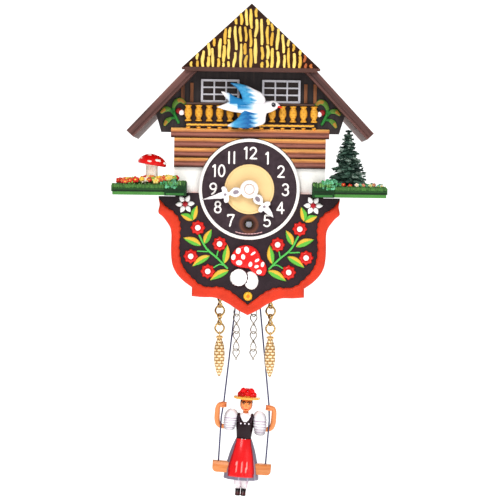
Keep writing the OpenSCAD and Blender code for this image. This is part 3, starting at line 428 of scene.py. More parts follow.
def spline(pts, k=6, closed=False):
    """A smooth line through the points, which may have two or three numbers each."""
    p = [np.array(q, float) for q in pts]
    n = len(p)
    out = []
    for i in range(n if closed else n - 1):
        a = p[(i - 1) % n] if closed or i else 2 * p[0] - p[1]
        b, c = p[i], p[(i + 1) % n]
        d = p[(i + 2) % n] if closed or i + 2 < n else 2 * p[-1] - p[-2]
        for s in range(k):
            t = s / k
            square, cube = 2 * a - 5 * b + 4 * c - d, 3 * b - a - 3 * c + d
            q = 0.5 * (2 * b + (c - a) * t + square * t * t + cube * t**3)
            out.append(tuple(float(v) for v in q))
    if not closed:
        out.append(tuple(float(v) for v in p[-1]))
    return out


def puff(g, outlines, d0, height, rim=1.2, res=0.6, col=None, back=0.0, wall=0.25, warp=None):
    """An inflated shape: outlines, the outer first, raised from d0 and rounded over rim mm at the edge."""
    loops = [resample(o, res) for o in outlines]
    pts = [p for l in loops for p in l]
    edges, n = [], 0
    for l in loops:
        edges += [(n + i, n + (i + 1) % len(l)) for i in range(len(l))]
        n += len(l)
    a = np.array([pts[e[0]] for e in edges])
    b = np.array([pts[e[1]] for e in edges])
    ab = b - a
    den = (ab**2).sum(1) + 1e-12

    def dist(q):
        q = np.array(q)[:, None, :]
        t = np.clip(((q - a) * ab).sum(2) / den, 0, 1)
        return np.sqrt((((a + t[..., None] * ab) - q) ** 2).sum(2)).min(1)

    xs = [p[0] for p in loops[0]]
    zs = [p[1] for p in loops[0]]
    inner = []
    row, z = 0, min(zs) + res / 2
    while z < max(zs):
        x = min(xs) + (res / 2 if row % 2 else 0)
        while x < max(xs):
            inner.append((x, z))
            x += res
        row += 1
        z += res * 0.87
    if inner:
        q = np.array(inner)
        crossings = np.zeros(len(q), int)
        for s, t in zip(a, b):
            hit = (s[1] > q[:, 1]) != (t[1] > q[:, 1])
            with np.errstate(divide="ignore", invalid="ignore"):
                cut = (t[0] - s[0]) * (q[:, 1] - s[1]) / (t[1] - s[1]) + s[0]
            crossings += hit & (q[:, 0] < cut)
        keep = (crossings % 2 == 1) & (dist(inner) > res * 0.45)
        inner = [p for p, k in zip(inner, keep) if k]
    allp = pts + inner
    vs, _, fs, *_ = delaunay_2d_cdt([Vector(p) for p in allp], edges, [], 4 if len(loops) > 1 else 1, 1e-5)
    vs = [(v.x, v.y) for v in vs]
    dd = dist(vs)
    k = np.clip(dd / rim, 0, 1)
    h = wall * height + (1 - wall) * height * np.sqrt(1 - (1 - k) ** 2)
    top = [(x, z, d0 + hh) for (x, z), hh in zip(vs, h)]
    low = [(x, z, d0 - back * (hh / height)) for (x, z), hh in zip(vs, h)] if back else [
        (x, z, d0) for x, z in vs]
    if warp:
        top, low = [warp(*p) for p in top], [warp(*p) for p in low]
    n = len(vs)
    faces = [tuple(f) for f in fs] + [tuple(i + n for i in f[::-1]) for f in fs]
    sides = {(f[i], f[(i + 1) % len(f)]): True for f in fs for i in range(len(f))}
    for i, j in sides:
        if (j, i) not in sides:
            faces.append((j, i, i + n, j + n))
    g.add(top + low, faces, col)


def tube(g, path, radius, n=12, col=None, flat=1.0, caps=True):
    """A round tube along a path of (x, height, depth); radius is a number or one for each point."""
    p = [np.array(q, float) for q in path]
    rs = [radius] * len(p) if isinstance(radius, (int, float)) else list(radius)
    if caps:
        for end, nxt in ((0, 1), (-1, -2)):
            t = p[end] - p[nxt]
            t = t / (np.linalg.norm(t) + 1e-9)
            r = rs[end]
            extra = [(p[end] + t * r * SIN(RAD(a)), r * COS(RAD(a))) for a in (30, 60, 85)]
            if end == 0:
                p = [q for q, _ in extra[::-1]] + p
                rs = [q for _, q in extra[::-1]] + rs
            else:
                p += [q for q, _ in extra]
                rs += [q for _, q in extra]
    verts = []
    up = np.array([0.0, 0.0, 1.0])
    for i, q in enumerate(p):
        t = p[min(i + 1, len(p) - 1)] - p[max(i - 1, 0)]
        t = t / (np.linalg.norm(t) + 1e-9)
        if abs(t @ up) > 0.95:
            up = np.array([1.0, 0.0, 0.0]) if abs(t[0]) < 0.8 else np.array([0.0, 0.0, 1.0])
        s = np.cross(t, up)
        s /= np.linalg.norm(s) + 1e-9
        w = np.cross(s, t)
        for a in angles(n):
            verts.append(tuple(q + rs[i] * (COS(a) * s + SIN(a) * flat * w)))
    g.add(verts, skin(len(p), n), col)


def lathe(g, profile, centre=(0, 0, 0), n=48, axis="z", col=None, warp=None):
    """profile is a list of (radius, position along the axis); axis z is up and d is toward the viewer."""
    verts = []
    for r, h in profile:
        for a in angles(n):
            r2 = warp(a, h, r) if warp else r
            x, y = r2 * COS(a), r2 * SIN(a)
            p = (x, h, y) if axis == "z" else (x, y, h)
            verts.append(tuple(c + q for c, q in zip(centre, p)))
    g.add(verts, skin(len(profile), n, profile[0][0] > 0.01, profile[-1][0] > 0.01), col)


def ball(g, c, r, col=None, n=16, sx=1.0, sz=1.0, sd=1.0, warp=None):
    """A ball of radius r, stretched by sx, sz and sd; warp gives each direction its own share of r."""
    verts = []
    rows = n // 2 + 1
    for i in range(rows):
        t = math.pi * i / (rows - 1)
        for a in angles(n):
            p = (SIN(t) * COS(a), COS(t), SIN(t) * SIN(a))
            s = warp(*p) if warp else 1.0
            verts.append((c[0] + r * sx * s * p[0], c[1] + r * sz * s * p[1], c[2] + r * sd * s * p[2]))
    g.add(verts, skin(rows, n, False, False), col)


def turn(pts, a, c=(0, 0)):
    """Outline turned clockwise by a degrees and moved to c."""
    s, k = SIN(RAD(a)), COS(RAD(a))
    return [(c[0] + x * k + z * s, c[1] - x * s + z * k) for x, z in pts]


def flip(pts):
    return [(-x, z) for x, z in pts][::-1]


def shade(c, k):
    return tuple(max(0, min(255, v * k)) for v in c)


rng = random.Random(7)


# ---- case, roof and gable ----


HOLE_SHADE_R = 7


def dial_mat():
    """Dark dial, with painted shade round the winding hole: darkest at the hole, brown further out."""
    nt, bsdf, obj = start("dial_paint", "dial")
    low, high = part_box("winding_arbor")
    cz = (low[2] + high[2]) / 2
    sep = nt.nodes.new("ShaderNodeSeparateXYZ")
    nt.links.new(obj, sep.inputs[0])
    dx = sep.outputs["X"]
    dz = math_node(nt, "SUBTRACT", sep.outputs["Z"], cz)
    square = math_node(nt, "ADD", math_node(nt, "MULTIPLY", dx, dx), math_node(nt, "MULTIPLY", dz, dz))
    r = math_node(nt, "SQRT", square)
    fine = noise(nt, obj, 1200, 4)
    patch = noise(nt, obj, 300, 4)
    base = ramp(nt, patch, [(0.3, lin((56, 43, 49))), (0.7, lin((74, 60, 66)))])
    edge = math_node(nt, "ADD", math_node(nt, "MULTIPLY", r, 1000 / HOLE_SHADE_R),
                     math_node(nt, "MULTIPLY", patch, 0.16))
    # painted shade round the winding hole, dark at its rim and brown further out
    hole_shade = ramp(nt, edge, [(0.38, lin((40, 28, 26))), (0.5, lin((70, 44, 38))), (0.72, lin((112, 72, 56))),
                           (0.84, lin((78, 58, 56)))])
    coloured(nt, bsdf, mix(nt, math_node(nt, "LESS_THAN", edge, 0.87), base, hole_shade))
    bsdf.inputs["Roughness"].default_value = 0.5
    bsdf.inputs["Specular IOR Level"].default_value = 0.2
    bumped(nt, bsdf, fine, 0.5, 0.0002)


KEPT = {
    "pine_box": "back_board case_side_left case_side_right",
    "floor_wood": "case_floor",
    "roof_l": "roof_board_left",
    "roof_r": "roof_board_right",
    "facade": "facade",
    "pane": "window_panes",
    "dial": "dial_plate",
    "white": "dial_ring",
    "cream": "dial_disc",
    "brass": "front_plate back_plate great_wheel centre_wheel cannon_pinion hour_wheel minute_wheel"
             " third_wheel escape_wheel back_screws",
    "steel": "pillars winding_arbor ratchet_wheel click anchor pendulum_wire bird_lever",
    "blued": "mainspring",
    "gold": "chain_eyes",
}


def kept_cad():
    """CAD nodes whose own shape shows, with their materials."""
    dial_mat()
    for mat, nodes in KEPT.items():
        for node in nodes.split():
            own = NODES[node].data.materials
            own.clear()
            own.append(M[mat])
    for node in ("roof_board_left", "roof_board_right", "dial_ring", "dial_disc"):
        b = NODES[node].modifiers.new("bevel", "BEVEL")
        b.width = 0.00025
        b.segments = 2
        b.limit_method = "ANGLE"


HIP_A = math.atan(0.616)
HIP_FOOT, HIP_HALF, HIP_RISE, HIP_D = 64.4, 36.6, 36.0, 62


def hip(u, s, o):
    """A point u across and s up the slope of the hip, o in front of its outer plane."""
    return (u, HIP_FOOT + s * COS(HIP_A) + o * SIN(HIP_A), HIP_D - s * SIN(HIP_A) + o * COS(HIP_A))


def reeds():
    """Dark thatch panel with irregular raised straw strokes, and the board along its foot."""
    g = Geo()
    top = HIP_RISE / COS(HIP_A)
    tri = [(-HIP_HALF, 0), (HIP_HALF, 0), (0, top)]
    dark = (70, 42, 30)
    v = [hip(x, s, o) for o in (-1.0, -2.9) for x, s in tri]
    g.add(v, [(0, 1, 2), (5, 4, 3), (0, 3, 4, 1), (1, 4, 5, 2), (2, 5, 3, 0)], dark)
    pitch, browner_from = 2.85, 27.5  # the last straws on the right are browner
    for i in range(-12, 13):
        u0 = i * pitch + rng.uniform(-0.3, 0.3)
        limit = (1 - (abs(u0) + 0.7) / HIP_HALF) * top
        s = rng.uniform(-3.5, 0.2)
        while s < limit - 2.2:
            length = rng.uniform(4.5, 16)
            shift, lean = rng.uniform(-0.4, 0.4), rng.uniform(-0.07, 0.07)
            e = min(s + length, limit)
            b = max(s, 0.5)
            if e - b > 2:
                n = max(3, int((e - b) / 1.6))
                r = rng.uniform(0.8, 1.05)
                ph, amp = rng.uniform(0, 6), rng.uniform(0.05, 0.3)
                path, rad = [], []
                for k in range(n + 1):
                    t = k / n
                    side_step = shift + lean * (e - b) * (t - 0.5) + amp * SIN(ph + t * 5)
                    path.append(hip(u0 + side_step, b + (e - b) * t, -0.92))
                    rad.append(r * (0.82 + 0.18 * SIN(math.pi * t)) * (0.94 + 0.1 * SIN(9 * t + ph)))
                straw = rng.choice([(250, 214, 110), (240, 198, 92), (252, 222, 128), (232, 184, 80)])
                if u0 > browner_from:
                    straw = rng.choice([(206, 128, 74), (186, 108, 66)])
                tube(g, path, rad, 10, straw, flat=0.62)
            s = e + rng.uniform(1.5, 2.7)
    build("thatch_reeds", g, "satin", "case", "hip_roof")
    g = Geo()
    box(g, -35.1, 35.1, 62.05, 64.3, 57.5, 61.9, (88, 56, 48))
    for s in (-1, 1):
        side_box(g, s, 35.1, 36.4, 63.1, 64.3, 57.5, 61.6, (98, 62, 52))
    build("hip_trim", g, "trim", "case", bevel=0.35)


def windows():
    """Two frames of three by three panes."""
    g = Geo()
    wide, tall, mid_z = 6.35, 3.75, 52.25  # of one pane, and the height of the windows' middle
    for cx in (-16.3, 16.3):
        for i in range(4):
            w = 0.62 if i in (0, 3) else 0.45
            x = cx + (i - 1.5) * wide * (1.0 if i in (1, 2) else 1.016)
            box(g, x - w, x + w, 46.1, 58.4, 48.2, 49.35)
            z = mid_z + (i - 1.5) * tall
            box(g, cx - 10.1, cx + 10.1, z - w, z + w, 48.2, 49.25)
    build("window_frames", g, "white_bars_shaded", "case", "windows", bevel=0.18)


def baluster(g, x):
    # gold where the baluster faces the viewer; the sides turned away are brown painted shade
    gold, edge = (226, 168, 62), (150, 92, 34)
    prof = [(0.0, 35.9), (1.8, 35.9), (1.75, 36.6), (1.2, 37.2), (1.35, 37.8), (2.0, 39.1), (2.15, 40.7),
            (1.95, 42.1), (1.5, 43.0), (1.4, 43.5), (1.8, 43.9), (1.9, 44.5), (0.0, 44.6)]
    prof = [(max(r, 0.001), z) for r, z in spline(prof, 3)]
    n = 20
    verts, cols = [], []
    for r, z in prof:
        for a in angles(n):
            verts.append((x + r * COS(a), z, 49.75 + 0.95 * r * SIN(a)))
            spot = SIN(2.3 * z + 3 * x) * SIN(5 * a + x) > 0.55
            cols.append((196, 134, 48) if spot and SIN(a) > 0.4 else (gold if SIN(a) > 0.4 else edge))
    g.add(verts, skin(len(prof), n, False, False), cols)


def railing():
    """The balcony's beams, balusters and the balls under them."""
    g = Geo()
    wood = (88, 66, 56)
    box(g, -34.2, 34.2, 32.6, 45.4, 48.05, 48.35, (72, 54, 50))
    box(g, -34.2, 34.2, 44.85, 45.8, 48.3, 52.3, wood)
    box(g, -34.2, 34.2, 33.05, 35.1, 48.3, 51.6, (74, 54, 48))
    build("railing_beams", g, "painted", "case", bevel=0.2)
    g = Geo()
    pitch = 5.59
    for i in range(-6, 7):
        x = 0.4 + i * pitch
        baluster(g, x)
        ball(g, (x, 32.75, 50.4), 0.95, (226, 160, 56), n=14, sx=1.25, sz=0.8)
    line = [(x, 34.05 + 0.1 * SIN(x * 2.3), 51.5) for x in np.linspace(-33.6, 33.6, 60)]
    tube(g, line, 0.55, 8, (238, 180, 72))
    build("balusters", g, "painted", "case", "balcony_railing")


LOG_TALL, LOG_PITCH, LOG_D, LOG_BACK = 5.24, 5.3, 48.2, 48.02
LOG_CUT_R = 27.35  # where the logs end beside the dial


def log_row(row):
    """Height of a log's middle and half its length; the top log is longer."""
    return 29.8 - LOG_PITCH * row, 42.2 if row == 0 else 40.4


def logs():
    """Four half-round boards, the lower three cut round the dial."""
    g = Geo()
    bands = []
    n = 18
    profile = []
    for j in range(n + 1):
        t = j / n
        rounds = abs(SIN(math.pi * t / 0.5)) if t < 0.5 else abs(SIN(math.pi * (t - 0.5) / 0.5))
        swell = max(0.0, SIN(math.pi * (0.08 + 0.84 * t))) ** 0.45
        profile.append((t, LOG_D + 3.25 * swell * (0.78 + 0.22 * rounds**0.5)))
    for row in range(4):
        zc, half = log_row(row)
        sides = [(-half, half)] if row == 0 else [(-half, None), (None, half)]
        for a, b in sides:
            m = 90 if row == 0 else 34
            verts = []
            for t, d in profile:
                z = zc + LOG_TALL * (t - 0.5)
                cut = math.sqrt(max(0.0, LOG_CUT_R**2 - z * z))
                x0, x1 = (a if a is not None else cut), (b if b is not None else -cut)
                for i in range(m + 1):
                    x = x0 + (x1 - x0) * i / m
                    wav = 0.07 * SIN(0.9 * x + row) + 0.05 * SIN(2.3 * x + 2 * row)
                    verts.append((x, z, d + wav if 0 < t < 1 else d))
                    bands.append(t)
            back = [(verts[j * (m + 1) + i][0], verts[j * (m + 1) + i][1], LOG_BACK)
                    for j in (n, 0) for i in range(m + 1)]
            g.add(verts + back, grid_faces(n + 3, m + 1, True, False))
            bands += [1.0] * (m + 1) + [0.0] * (m + 1)
    for row in range(4):
        zc, half = log_row(row)
        for s in (-1, 1):
            cap = [(s * half, zc + LOG_TALL * (t - 0.5), d) for t, d in profile]
            cap += [(s * half, zc + LOG_TALL / 2, LOG_BACK), (s * half, zc - LOG_TALL / 2, LOG_BACK)]
            g.add(cap, [tuple(range(len(cap)))])
            bands += [t for t, _ in profile] + [1.0, 0.0]
    o = build("logs", g, "log", "case", "log_siding")
    o.data.attributes.new("band", "FLOAT", "POINT").data.foreach_set("value", bands)


def leaf_outline(base, tip, width, bend=0.0):
    """Pointed leaf from base to tip, bent sideways; returns its outline and its midrib."""
    bx, bz = base
    tx, tz = tip
    length = math.dist(base, tip)
    ux, uz = (tx - bx) / length, (tz - bz) / length
    left, right, mid = [], [], []
    n = 12
    for i in range(n + 1):
        t = i / n
        off = bend * SIN(math.pi * t)
        w = width / 2 * SIN(math.pi * t**0.85) ** 0.85 if 0 < i < n else 0
        cx, cz = bx + ux * length * t - uz * off, bz + uz * length * t + ux * off
        mid.append((cx, cz))
        left.append((cx - uz * w, cz + ux * w))
        right.append((cx + uz * w, cz - ux * w))
    return right + left[-2:0:-1], mid


def side_of(mid, x, z):
    """Signed distance of a point from a midrib, positive on its left."""
    best = None
    for (ax, az), (bx, bz) in zip(mid, mid[1:]):
        vx, vz = bx - ax, bz - az
        t = max(0, min(1, ((x - ax) * vx + (z - az) * vz) / (vx * vx + vz * vz)))
        px, pz = x - ax - t * vx, z - az - t * vz
        dist = math.hypot(px, pz)
        if best is None or dist < abs(best):
            best = math.copysign(dist, vx * pz - vz * px)
    return best


def two_tone_leaf(g, base, tip, width, bend, d0, height, lo_col, hi_col):
    """A leaf with a different colour on each side of its midrib."""
    out, mid = leaf_outline(base, tip, width, bend)
    puff(g, [out], d0, height, 0.9, 0.35, lambda x, z, d: hi_col if side_of(mid, x, z) > 0.12 else lo_col)


def lobe(g, path, widths, s):
    """A club-shaped leaf lobe: green at its stalk, ochre in the middle and light green at its rim."""
    pts = spline([(s * x, z, 48.55) for x, z in path], 5)
    radii = [w for _, w in spline(list(zip(range(len(widths)), widths)), 5)]
    radii = [radii[min(len(radii) - 1, round(i * (len(radii) - 1) / (len(pts) - 1)))]
             for i in range(len(pts))]
    n0, n = len(g.v), 20
    tube(g, pts, radii, n, None, flat=0.55)
    rows = (len(g.v) - n0) // n
    cols = []
    for i in range(rows):
        t = i / (rows - 1)
        for k in range(n):
            rim = abs(COS(TAU * k / n)) > 0.8 or t > 0.93
            core = (172, 128, 52) if t > 0.62 else (96, 132, 54)
            cols.append((44, 118, 52) if t < 0.4 else ((104, 158, 74) if rim else core))
    g.c[n0:] = cols


def gable_leaves():
    """A spray of lobes with two berries on each side."""
    g = Geo()
    green = (48, 128, 56)
    for s in (-1, 1):
        lobe(g, [(38.9, 36.0), (40.6, 39.6), (41.1, 43.2), (39.6, 46.2), (37.2, 47.0), (35.2, 45.6)],
             [0.7, 0.85, 0.95, 1.4, 1.4, 0.9], s)
        lobe(g, [(40.6, 39.2), (42.6, 41.6), (45.2, 42.2), (47.4, 40.6)], [0.7, 0.95, 1.45, 0.9], s)
        lobe(g, [(40.0, 37.6), (42.2, 37.4), (44.4, 36.0), (45.6, 34.0)], [0.7, 0.85, 1.35, 0.9], s)
        tube(g, [(s * 38.3, 35.2, 48.6), (s * 39.6, 37.6, 48.8), (s * 40.8, 40.2, 48.8)], 0.8, 10, green)
        ball(g, (s * 38.4, 41.3, 48.6), 1.6, (150, 34, 36), n=18, sd=0.7)
        ball(g, (s * 36.7, 40.4, 49.2), 1.5, (250, 236, 236), n=18, sd=0.6)
    build("gable_leaf_sprays", g, "painted", "case", "gable_leaves")


# ---- shield and relief ----


SHIELD_R = 27.2  # of the round cut that holds the dial
SHIELD_BACK, SHIELD_FRONT = 48.05, 50.5
SIDE = [(48.4, -4.3), (48.3, -6), (47.8, -9), (48.4, -13), (45.7, -15.6), (42.2, -20.5), (41.3, -24.8),
        (41.4, -31), (41.2, -36.8), (40.3, -41.6), (37.9, -46), (34, -49.9), (30, -52.7)]
FOOT = [(30, -57.5), (24, -58), (19, -58), (15.3, -58.9), (10.2, -61.4), (5.5, -64.5), (0, -67.3)]
INNER = [(48.2, -5.4), (44.6, -9.6), (40.8, -12.2), (37.6, -15.8), (36.5, -20), (36.6, -25.3), (36.9, -30.7),
         (36.5, -36), (35.4, -40.5), (33, -44.5), (29.4, -48.1), (25.7, -51.2), (21.4, -52.5), (16.9, -52.3),
         (13.4, -52.8), (8.9, -54.9), (4.9, -57.9), (0, -61.7)]


def shield():
    """The board under the dial, dark with an orange edge, and its wavy border."""
    right = spline(SIDE, 4) + spline(FOOT, 4)
    arc = [(SHIELD_R * COS(RAD(a)), SHIELD_R * SIN(RAD(a))) for a in range(-175, -4, 5)]
    top = [(27.1, -2.3), (32.9, -2.3), (32.9, -4.3)]
    out = arc + top + right + flip(right)[1:] + flip(top)
    g = Geo()
    prism(g, out, SHIELD_BACK, SHIELD_FRONT, side=1)
    build("shield_board", g, "dark orange", "case", "shield", bevel=0.3, angle=50)
    inner = spline(INNER, 4)
    inner = [(x + 0.28 * SIN(2.1 * i), z + 0.22 * SIN(1.7 * i + 1)) for i, (x, z) in enumerate(inner)]
    inner[0], inner[-1] = INNER[0], INNER[-1]
    outer = spline([(48.3, -4.9)] + SIDE[1:], 4) + spline(FOOT, 4)
    ring = outer + flip(outer)[1:] + flip(inner)[::-1] + inner[::-1][1:]
    g = Geo()
    puff(g, [ring], 50.4, 1.6, 1.5, 0.9, wall=0.3)
    build("shield_border", g, "orange", "case")


RELIEF = SHIELD_FRONT - 0.05
GREEN, YELLOW, STEM = (104, 184, 70), (228, 184, 70), (92, 190, 92)


def red_flower(g, x, z):
    red, rim = (214, 42, 34), (168, 28, 30)
    out = [(x + r * COS(a), z + r * SIN(a)) for a in np.linspace(0, TAU, 72, False)
           for r in [3.65 + 0.32 * COS(8 * a)]]
    puff(g, [out], RELIEF, 1.35, 1.0, 0.45,
         lambda px, pz, d: rim if 1.75 < math.hypot(px - x, pz - z) < 2.2 else red)
    puff(g, [circle(x, z, 1.55, 20)], RELIEF + 1.1, 0.85, 0.9, 0.4, (252, 250, 246))


def mushroom_cap(g, out, height, dots):
    puff(g, [out], RELIEF, height, 2.4, 0.45, (224, 40, 38), wall=0.35)
    for x, z, rx, rz, tilt in dots:
        spot = turn(circle(0, 0, rx, 18, rz), tilt, (x, z))
        puff(g, [spot], RELIEF + height - 0.15, 0.5, 0.6, 0.35, (253, 250, 248))


def relief():
    """Painted flowers, leaves and mushrooms on the shield."""
    g = Geo()
    for s in (-1, 1):
        fx, fz = s * 34.2, -8.3
        for i in range(6):
            a = 60 * i + (0 if s > 0 else 4)
            base = (fx + 1.1 * COS(RAD(a)), fz + 1.1 * SIN(RAD(a)))
            tip = (fx + 5.2 * COS(RAD(a)), fz + 5.2 * SIN(RAD(a)))
            out, _ = leaf_outline(base, tip, 2.7)
            puff(g, [out], RELIEF, 1.2, 0.9, 0.4, (252, 250, 248))
        puff(g, [circle(fx, fz, 1.45, 20)], RELIEF, 1.9, 1.0, 0.4, (176, 30, 44))
        for x, z in ((27.2, -20.9), (15.5, -29.4), (30.8, -36.2), (21.6, -44.1)):
            red_flower(g, s * x, z)
        for bx, bz, tx, tz, w, bend, outer_yellow in (
                (29.6, -16.9, 27.7, -9.0, 3.7, -0.5, True), (29.8, -17.0, 36.6, -13.9, 3.8, 0.4, False),
                (25.2, -30.4, 35, -26.4, 4.1, 0.5, True), (23.6, -29.6, 19.8, -21.6, 3.9, -0.3, False),
                (12.9, -39.9, 11.3, -29.6, 4.0, 0.3, True), (20.6, -35.7, 30, -41.6, 3.9, 0.5, True),
                (10.3, -43.4, 20.4, -48.9, 4.1, 0.6, True)):
            left_col, right_col = (YELLOW, GREEN) if (s > 0) == outer_yellow else (GREEN, YELLOW)
            two_tone_leaf(g, (s * bx, bz), (s * tx, tz), w, s * bend, RELIEF, 1.1, right_col, left_col)
        for path, r in (([(11.2, -42.3), (16.6, -37), (22.4, -32), (26.4, -25)], 0.62),
                        ([(22, -33.6), (27.2, -33.4)], 0.42), ([(17, -36.4), (16.3, -33.2)], 0.42),
                        ([(12, -41.2), (15.2, -40.3), (18.4, -42)], 0.42)):
            tube(g, [(s * x, z, RELIEF + 0.35) for x, z in spline(path, 4)], r, 8, STEM, flat=1.1)
    cream = (252, 248, 246)
    puff(g, [turn(circle(0, 0, 3.9, 32, 4.9), -8, (1.6, -48.7))], RELIEF, 1.1, 1.6, 0.5, cream)
    seam = turn(circle(0, 0, 5.1, 36, 5.3), 0, (-4.6, -47.1))
    puff(g, [seam], RELIEF, 1.2, 0.5, 0.6, (64, 40, 46))
    puff(g, [turn(circle(0, 0, 4.8, 36, 5.0), 0, (-4.9, -47.2))], RELIEF, 1.6, 1.8, 0.5, cream)
    big = [(8.1 * COS(a) - 1.3, -38 + (8.2 if SIN(a) > 0 else 4.2) * SIN(a))
           for a in np.linspace(0, TAU, 48, False)]
    mushroom_cap(g, big, 2.1, ((-5.4, -32.9, 1.35, 1.7, 20), (-1, -32.2, 1.3, 1.7, -25),
                               (2.5, -34.2, 1.6, 0.65, -35), (-8, -36.3, 1.2, 1.6, 10),
                               (-2.8, -36.1, 1.15, 1.5, -10), (-4.9, -39.2, 1.7, 1.45, 0)))
    small = [(6.2 * COS(a), (5.6 if SIN(a) > 0 else 2.6) * SIN(a)) for a in np.linspace(0, TAU, 44, False)]
    small_dots = ((1.1, -39.9, 1.2, 1.5, 20), (4.5, -37.9, 1.5, 0.9, -35), (7.6, -40, 0.95, 1.5, 15),
                  (4.4, -41.2, 1.3, 0.9, -20), (5.8, -44, 1.5, 1.3, -10))
    mushroom_cap(g, turn(small, 35, (3.9, -42)), 1.9, small_dots)
    puff(g, [circle(0, -57.2, 2.4, 28)], RELIEF, 1.3, 1.6, 0.5,
         lambda x, z, d: (226, 130, 40) if math.hypot(x, z + 57.2) < 1.0 else (240, 190, 60))
    build("painted_relief", g, "glossy", "case", "shield_relief")


# ---- dial numbers and hands ----


def arc_pts(cx, cz, r, a0, a1, n=10, rz=None):
    """Points on an arc from a0 to a1 degrees."""
    rz = rz or r
    turns = [RAD(a0 + (a1 - a0) * i / n) for i in range(n + 1)]
    return [(cx + r * COS(a), cz + rz * SIN(a)) for a in turns]


DIGITS = {
    0: [arc_pts(0, 0, 1.55, 90, 450, 24, 3.0)],
    1: [[(-1.0, 2.1), (-0.1, 3), (0, 3)], [(0.05, 3), (0.05, -3)]],
    2: [arc_pts(0, 1.4, 1.55, 165, -30, 10) + [(0.4, -0.8), (-1.6, -2.9), (1.7, -2.9)]],
    3: [arc_pts(-0.1, 1.5, 1.5, 150, -90, 10), arc_pts(-0.1, -1.4, 1.65, 90, -150, 12)],
    4: [[(0.8, -3), (0.8, 3), (-1.8, -1.3), (1.8, -1.3)]],
    5: [[(1.4, 2.9), (-1.1, 2.9), (-1.3, 0.3)], arc_pts(-0.1, -1.2, 1.75, 130, -145, 12)],
    7: [[(-1.6, 2.3), (-1.6, 2.9), (1.7, 2.9), (0.2, -0.2), (-0.5, -3)]],
    6: [[(0, 3), (0, -3)]],  # a plain stroke, for the figure 11
    8: [arc_pts(0, 1.5, 1.35, 90, 450, 18), arc_pts(0, -1.45, 1.6, 90, 450, 20)],
    9: [arc_pts(0, 1.25, 1.6, 0, 360, 20), arc_pts(-2.6, 0.9, 4.2, 5, -62, 8)],
}


FIGURE_R, DASH_R, FIGURE_D, DASH_STEP = 19.3, 23.9, 50.02, 3.9


def numbers():
    """The figures, and a row of plain dashes at the foot of the dial."""
    g = Geo()
    white = (250, 246, 242)
    for h, digits in ((1, (1,)), (2, (2,)), (3, (3,)), (4, (4,)), (5, (5,)), (7, (7,)), (8, (8,)), (9, (9,)),
                      (10, (1, 0)), (11, (6, 6)), (12, (1, 2))):
        cx, cz = FIGURE_R * SIN(RAD(30 * h)), FIGURE_R * COS(RAD(30 * h))
        for k, d in enumerate(digits):
            gap = 2.8 if h == 11 else 3.6  # between two figures
            ox = cx + (gap * (k - 0.5) if len(digits) > 1 else 0)
            for path in DIGITS[d]:
                dense = resample(path, 0.5, False)
                tube(g, [(ox + x, cz + z, FIGURE_D) for x, z in dense], 0.5, 10, white, flat=0.7)
    for i in range(9):
        a = RAD(-90 + (i - 4) * DASH_STEP)
        x, z = DASH_R * COS(a), DASH_R * SIN(a)
        t = 0.52  # half a dash
        tube(g, [(x - t * -SIN(a), z - t * COS(a), 50.0), (x + t * -SIN(a), z + t * COS(a), 50.0)], 0.26, 8,
             (226, 176, 178), flat=0.7)
    build("dial_figures", g, "white_paint", "case", "dial_numbers")


def hand(name, node, body, length, eye, tre, lobe, bore, angle, d0, hub):
    """A pierced hand: eye and tre are the heights of its eye and its trefoil, angle is in degrees."""
    half = [(1.3, hub * 0.93), (0.95, eye - 3.0), (1.8, eye - 2.3), (2.6, eye - 0.6), (2.6, eye + 0.9),
            (1.8, eye + 2.4), (1.0, eye + 3.3), (1.3, tre - 2.0), (lobe - 1.1, tre - 1.9),
            (lobe + 0.3, tre - 1.0), (lobe + 0.5, tre + 0.3), (lobe - 0.4, tre + 1.2), (1.9, tre + 1.1),
            (1.75, tre + 2.4), (1.2, tre + 5.0)]
    half = spline(half, 3) + [(0.12, length)]
    a0 = math.degrees(math.acos(1.3 / hub)) if hub > 1.3 else 60
    ring = arc_pts(0, 0, hub, 180 - a0, 360 + a0, 24)
    out = ring + half + [(-x, z) for x, z in half[::-1]]
    holes = [circle(0, eye, 1.0, 20, 1.45), circle(0, tre - 0.2, 0.55, 14), circle(0, 0, bore, 24)]
    g = Geo()
    # the hand's walls and lower rim are greyed as painted shade
    puff(g, [turn(o, angle) for o in [out, *holes]], d0, 1.0, 0.75, 0.38,
         lambda x, z, d: (252, 249, 248) if d > d0 + 0.5 else (150, 136, 146), wall=0.35)
    build(name, g, "white_gloss", body, node)


def hands():
    """The two hands and the nut that holds them."""
    hand("minute_hand_cast", "minute_hand", "centre", length=25.9, eye=7.3, tre=13.4, lobe=4.0, bore=1.52,
         angle=256.8, d0=53.9, hub=3.6)
    hand("hour_hand_cast", "hour_hand", "hour", length=19.9, eye=6.9, tre=12.5, lobe=3.4, bore=2.42,
         angle=138.8, d0=52.1, hub=3.9)
    g = Geo()
    prof = [(0.001, 54.95), (4.5, 54.95), (4.7, 55.2), (4.6, 55.6), (4.1, 56.1), (3.5, 56.35), (3.1, 56.2),
            (2.75, 55.75), (2.45, 55.7), (2.3, 56.4), (2.2, 57.1), (1.8, 57.6), (1.1, 57.8), (0.001, 57.8)]

    # a warm painted shadow in the groove between the knob and the flange
    def tone(x, z, d):
        r = math.hypot(x, z)
        return (212, 186, 168) if 2.45 < r < 2.95 else (252, 248, 247)

    lathe(g, spline(prof, 3), (0, 0, 0), 48, "d", tone)
    build("hand_nut_cap", g, "white_gloss", "centre", "hand_nut")


# ---- ledges and what stands on them ----


def tuft(g, x, d, z, h, col, lean=0.0):
    """One short blade or clump of moulded grass."""
    tube(g, [(x, z - 0.4, d), (x + lean * 0.4, z + h * 0.55, d + lean * 0.2),
             (x + lean, z + h, d + lean * 0.3)], [0.55, 0.42, 0.14], 6, col)


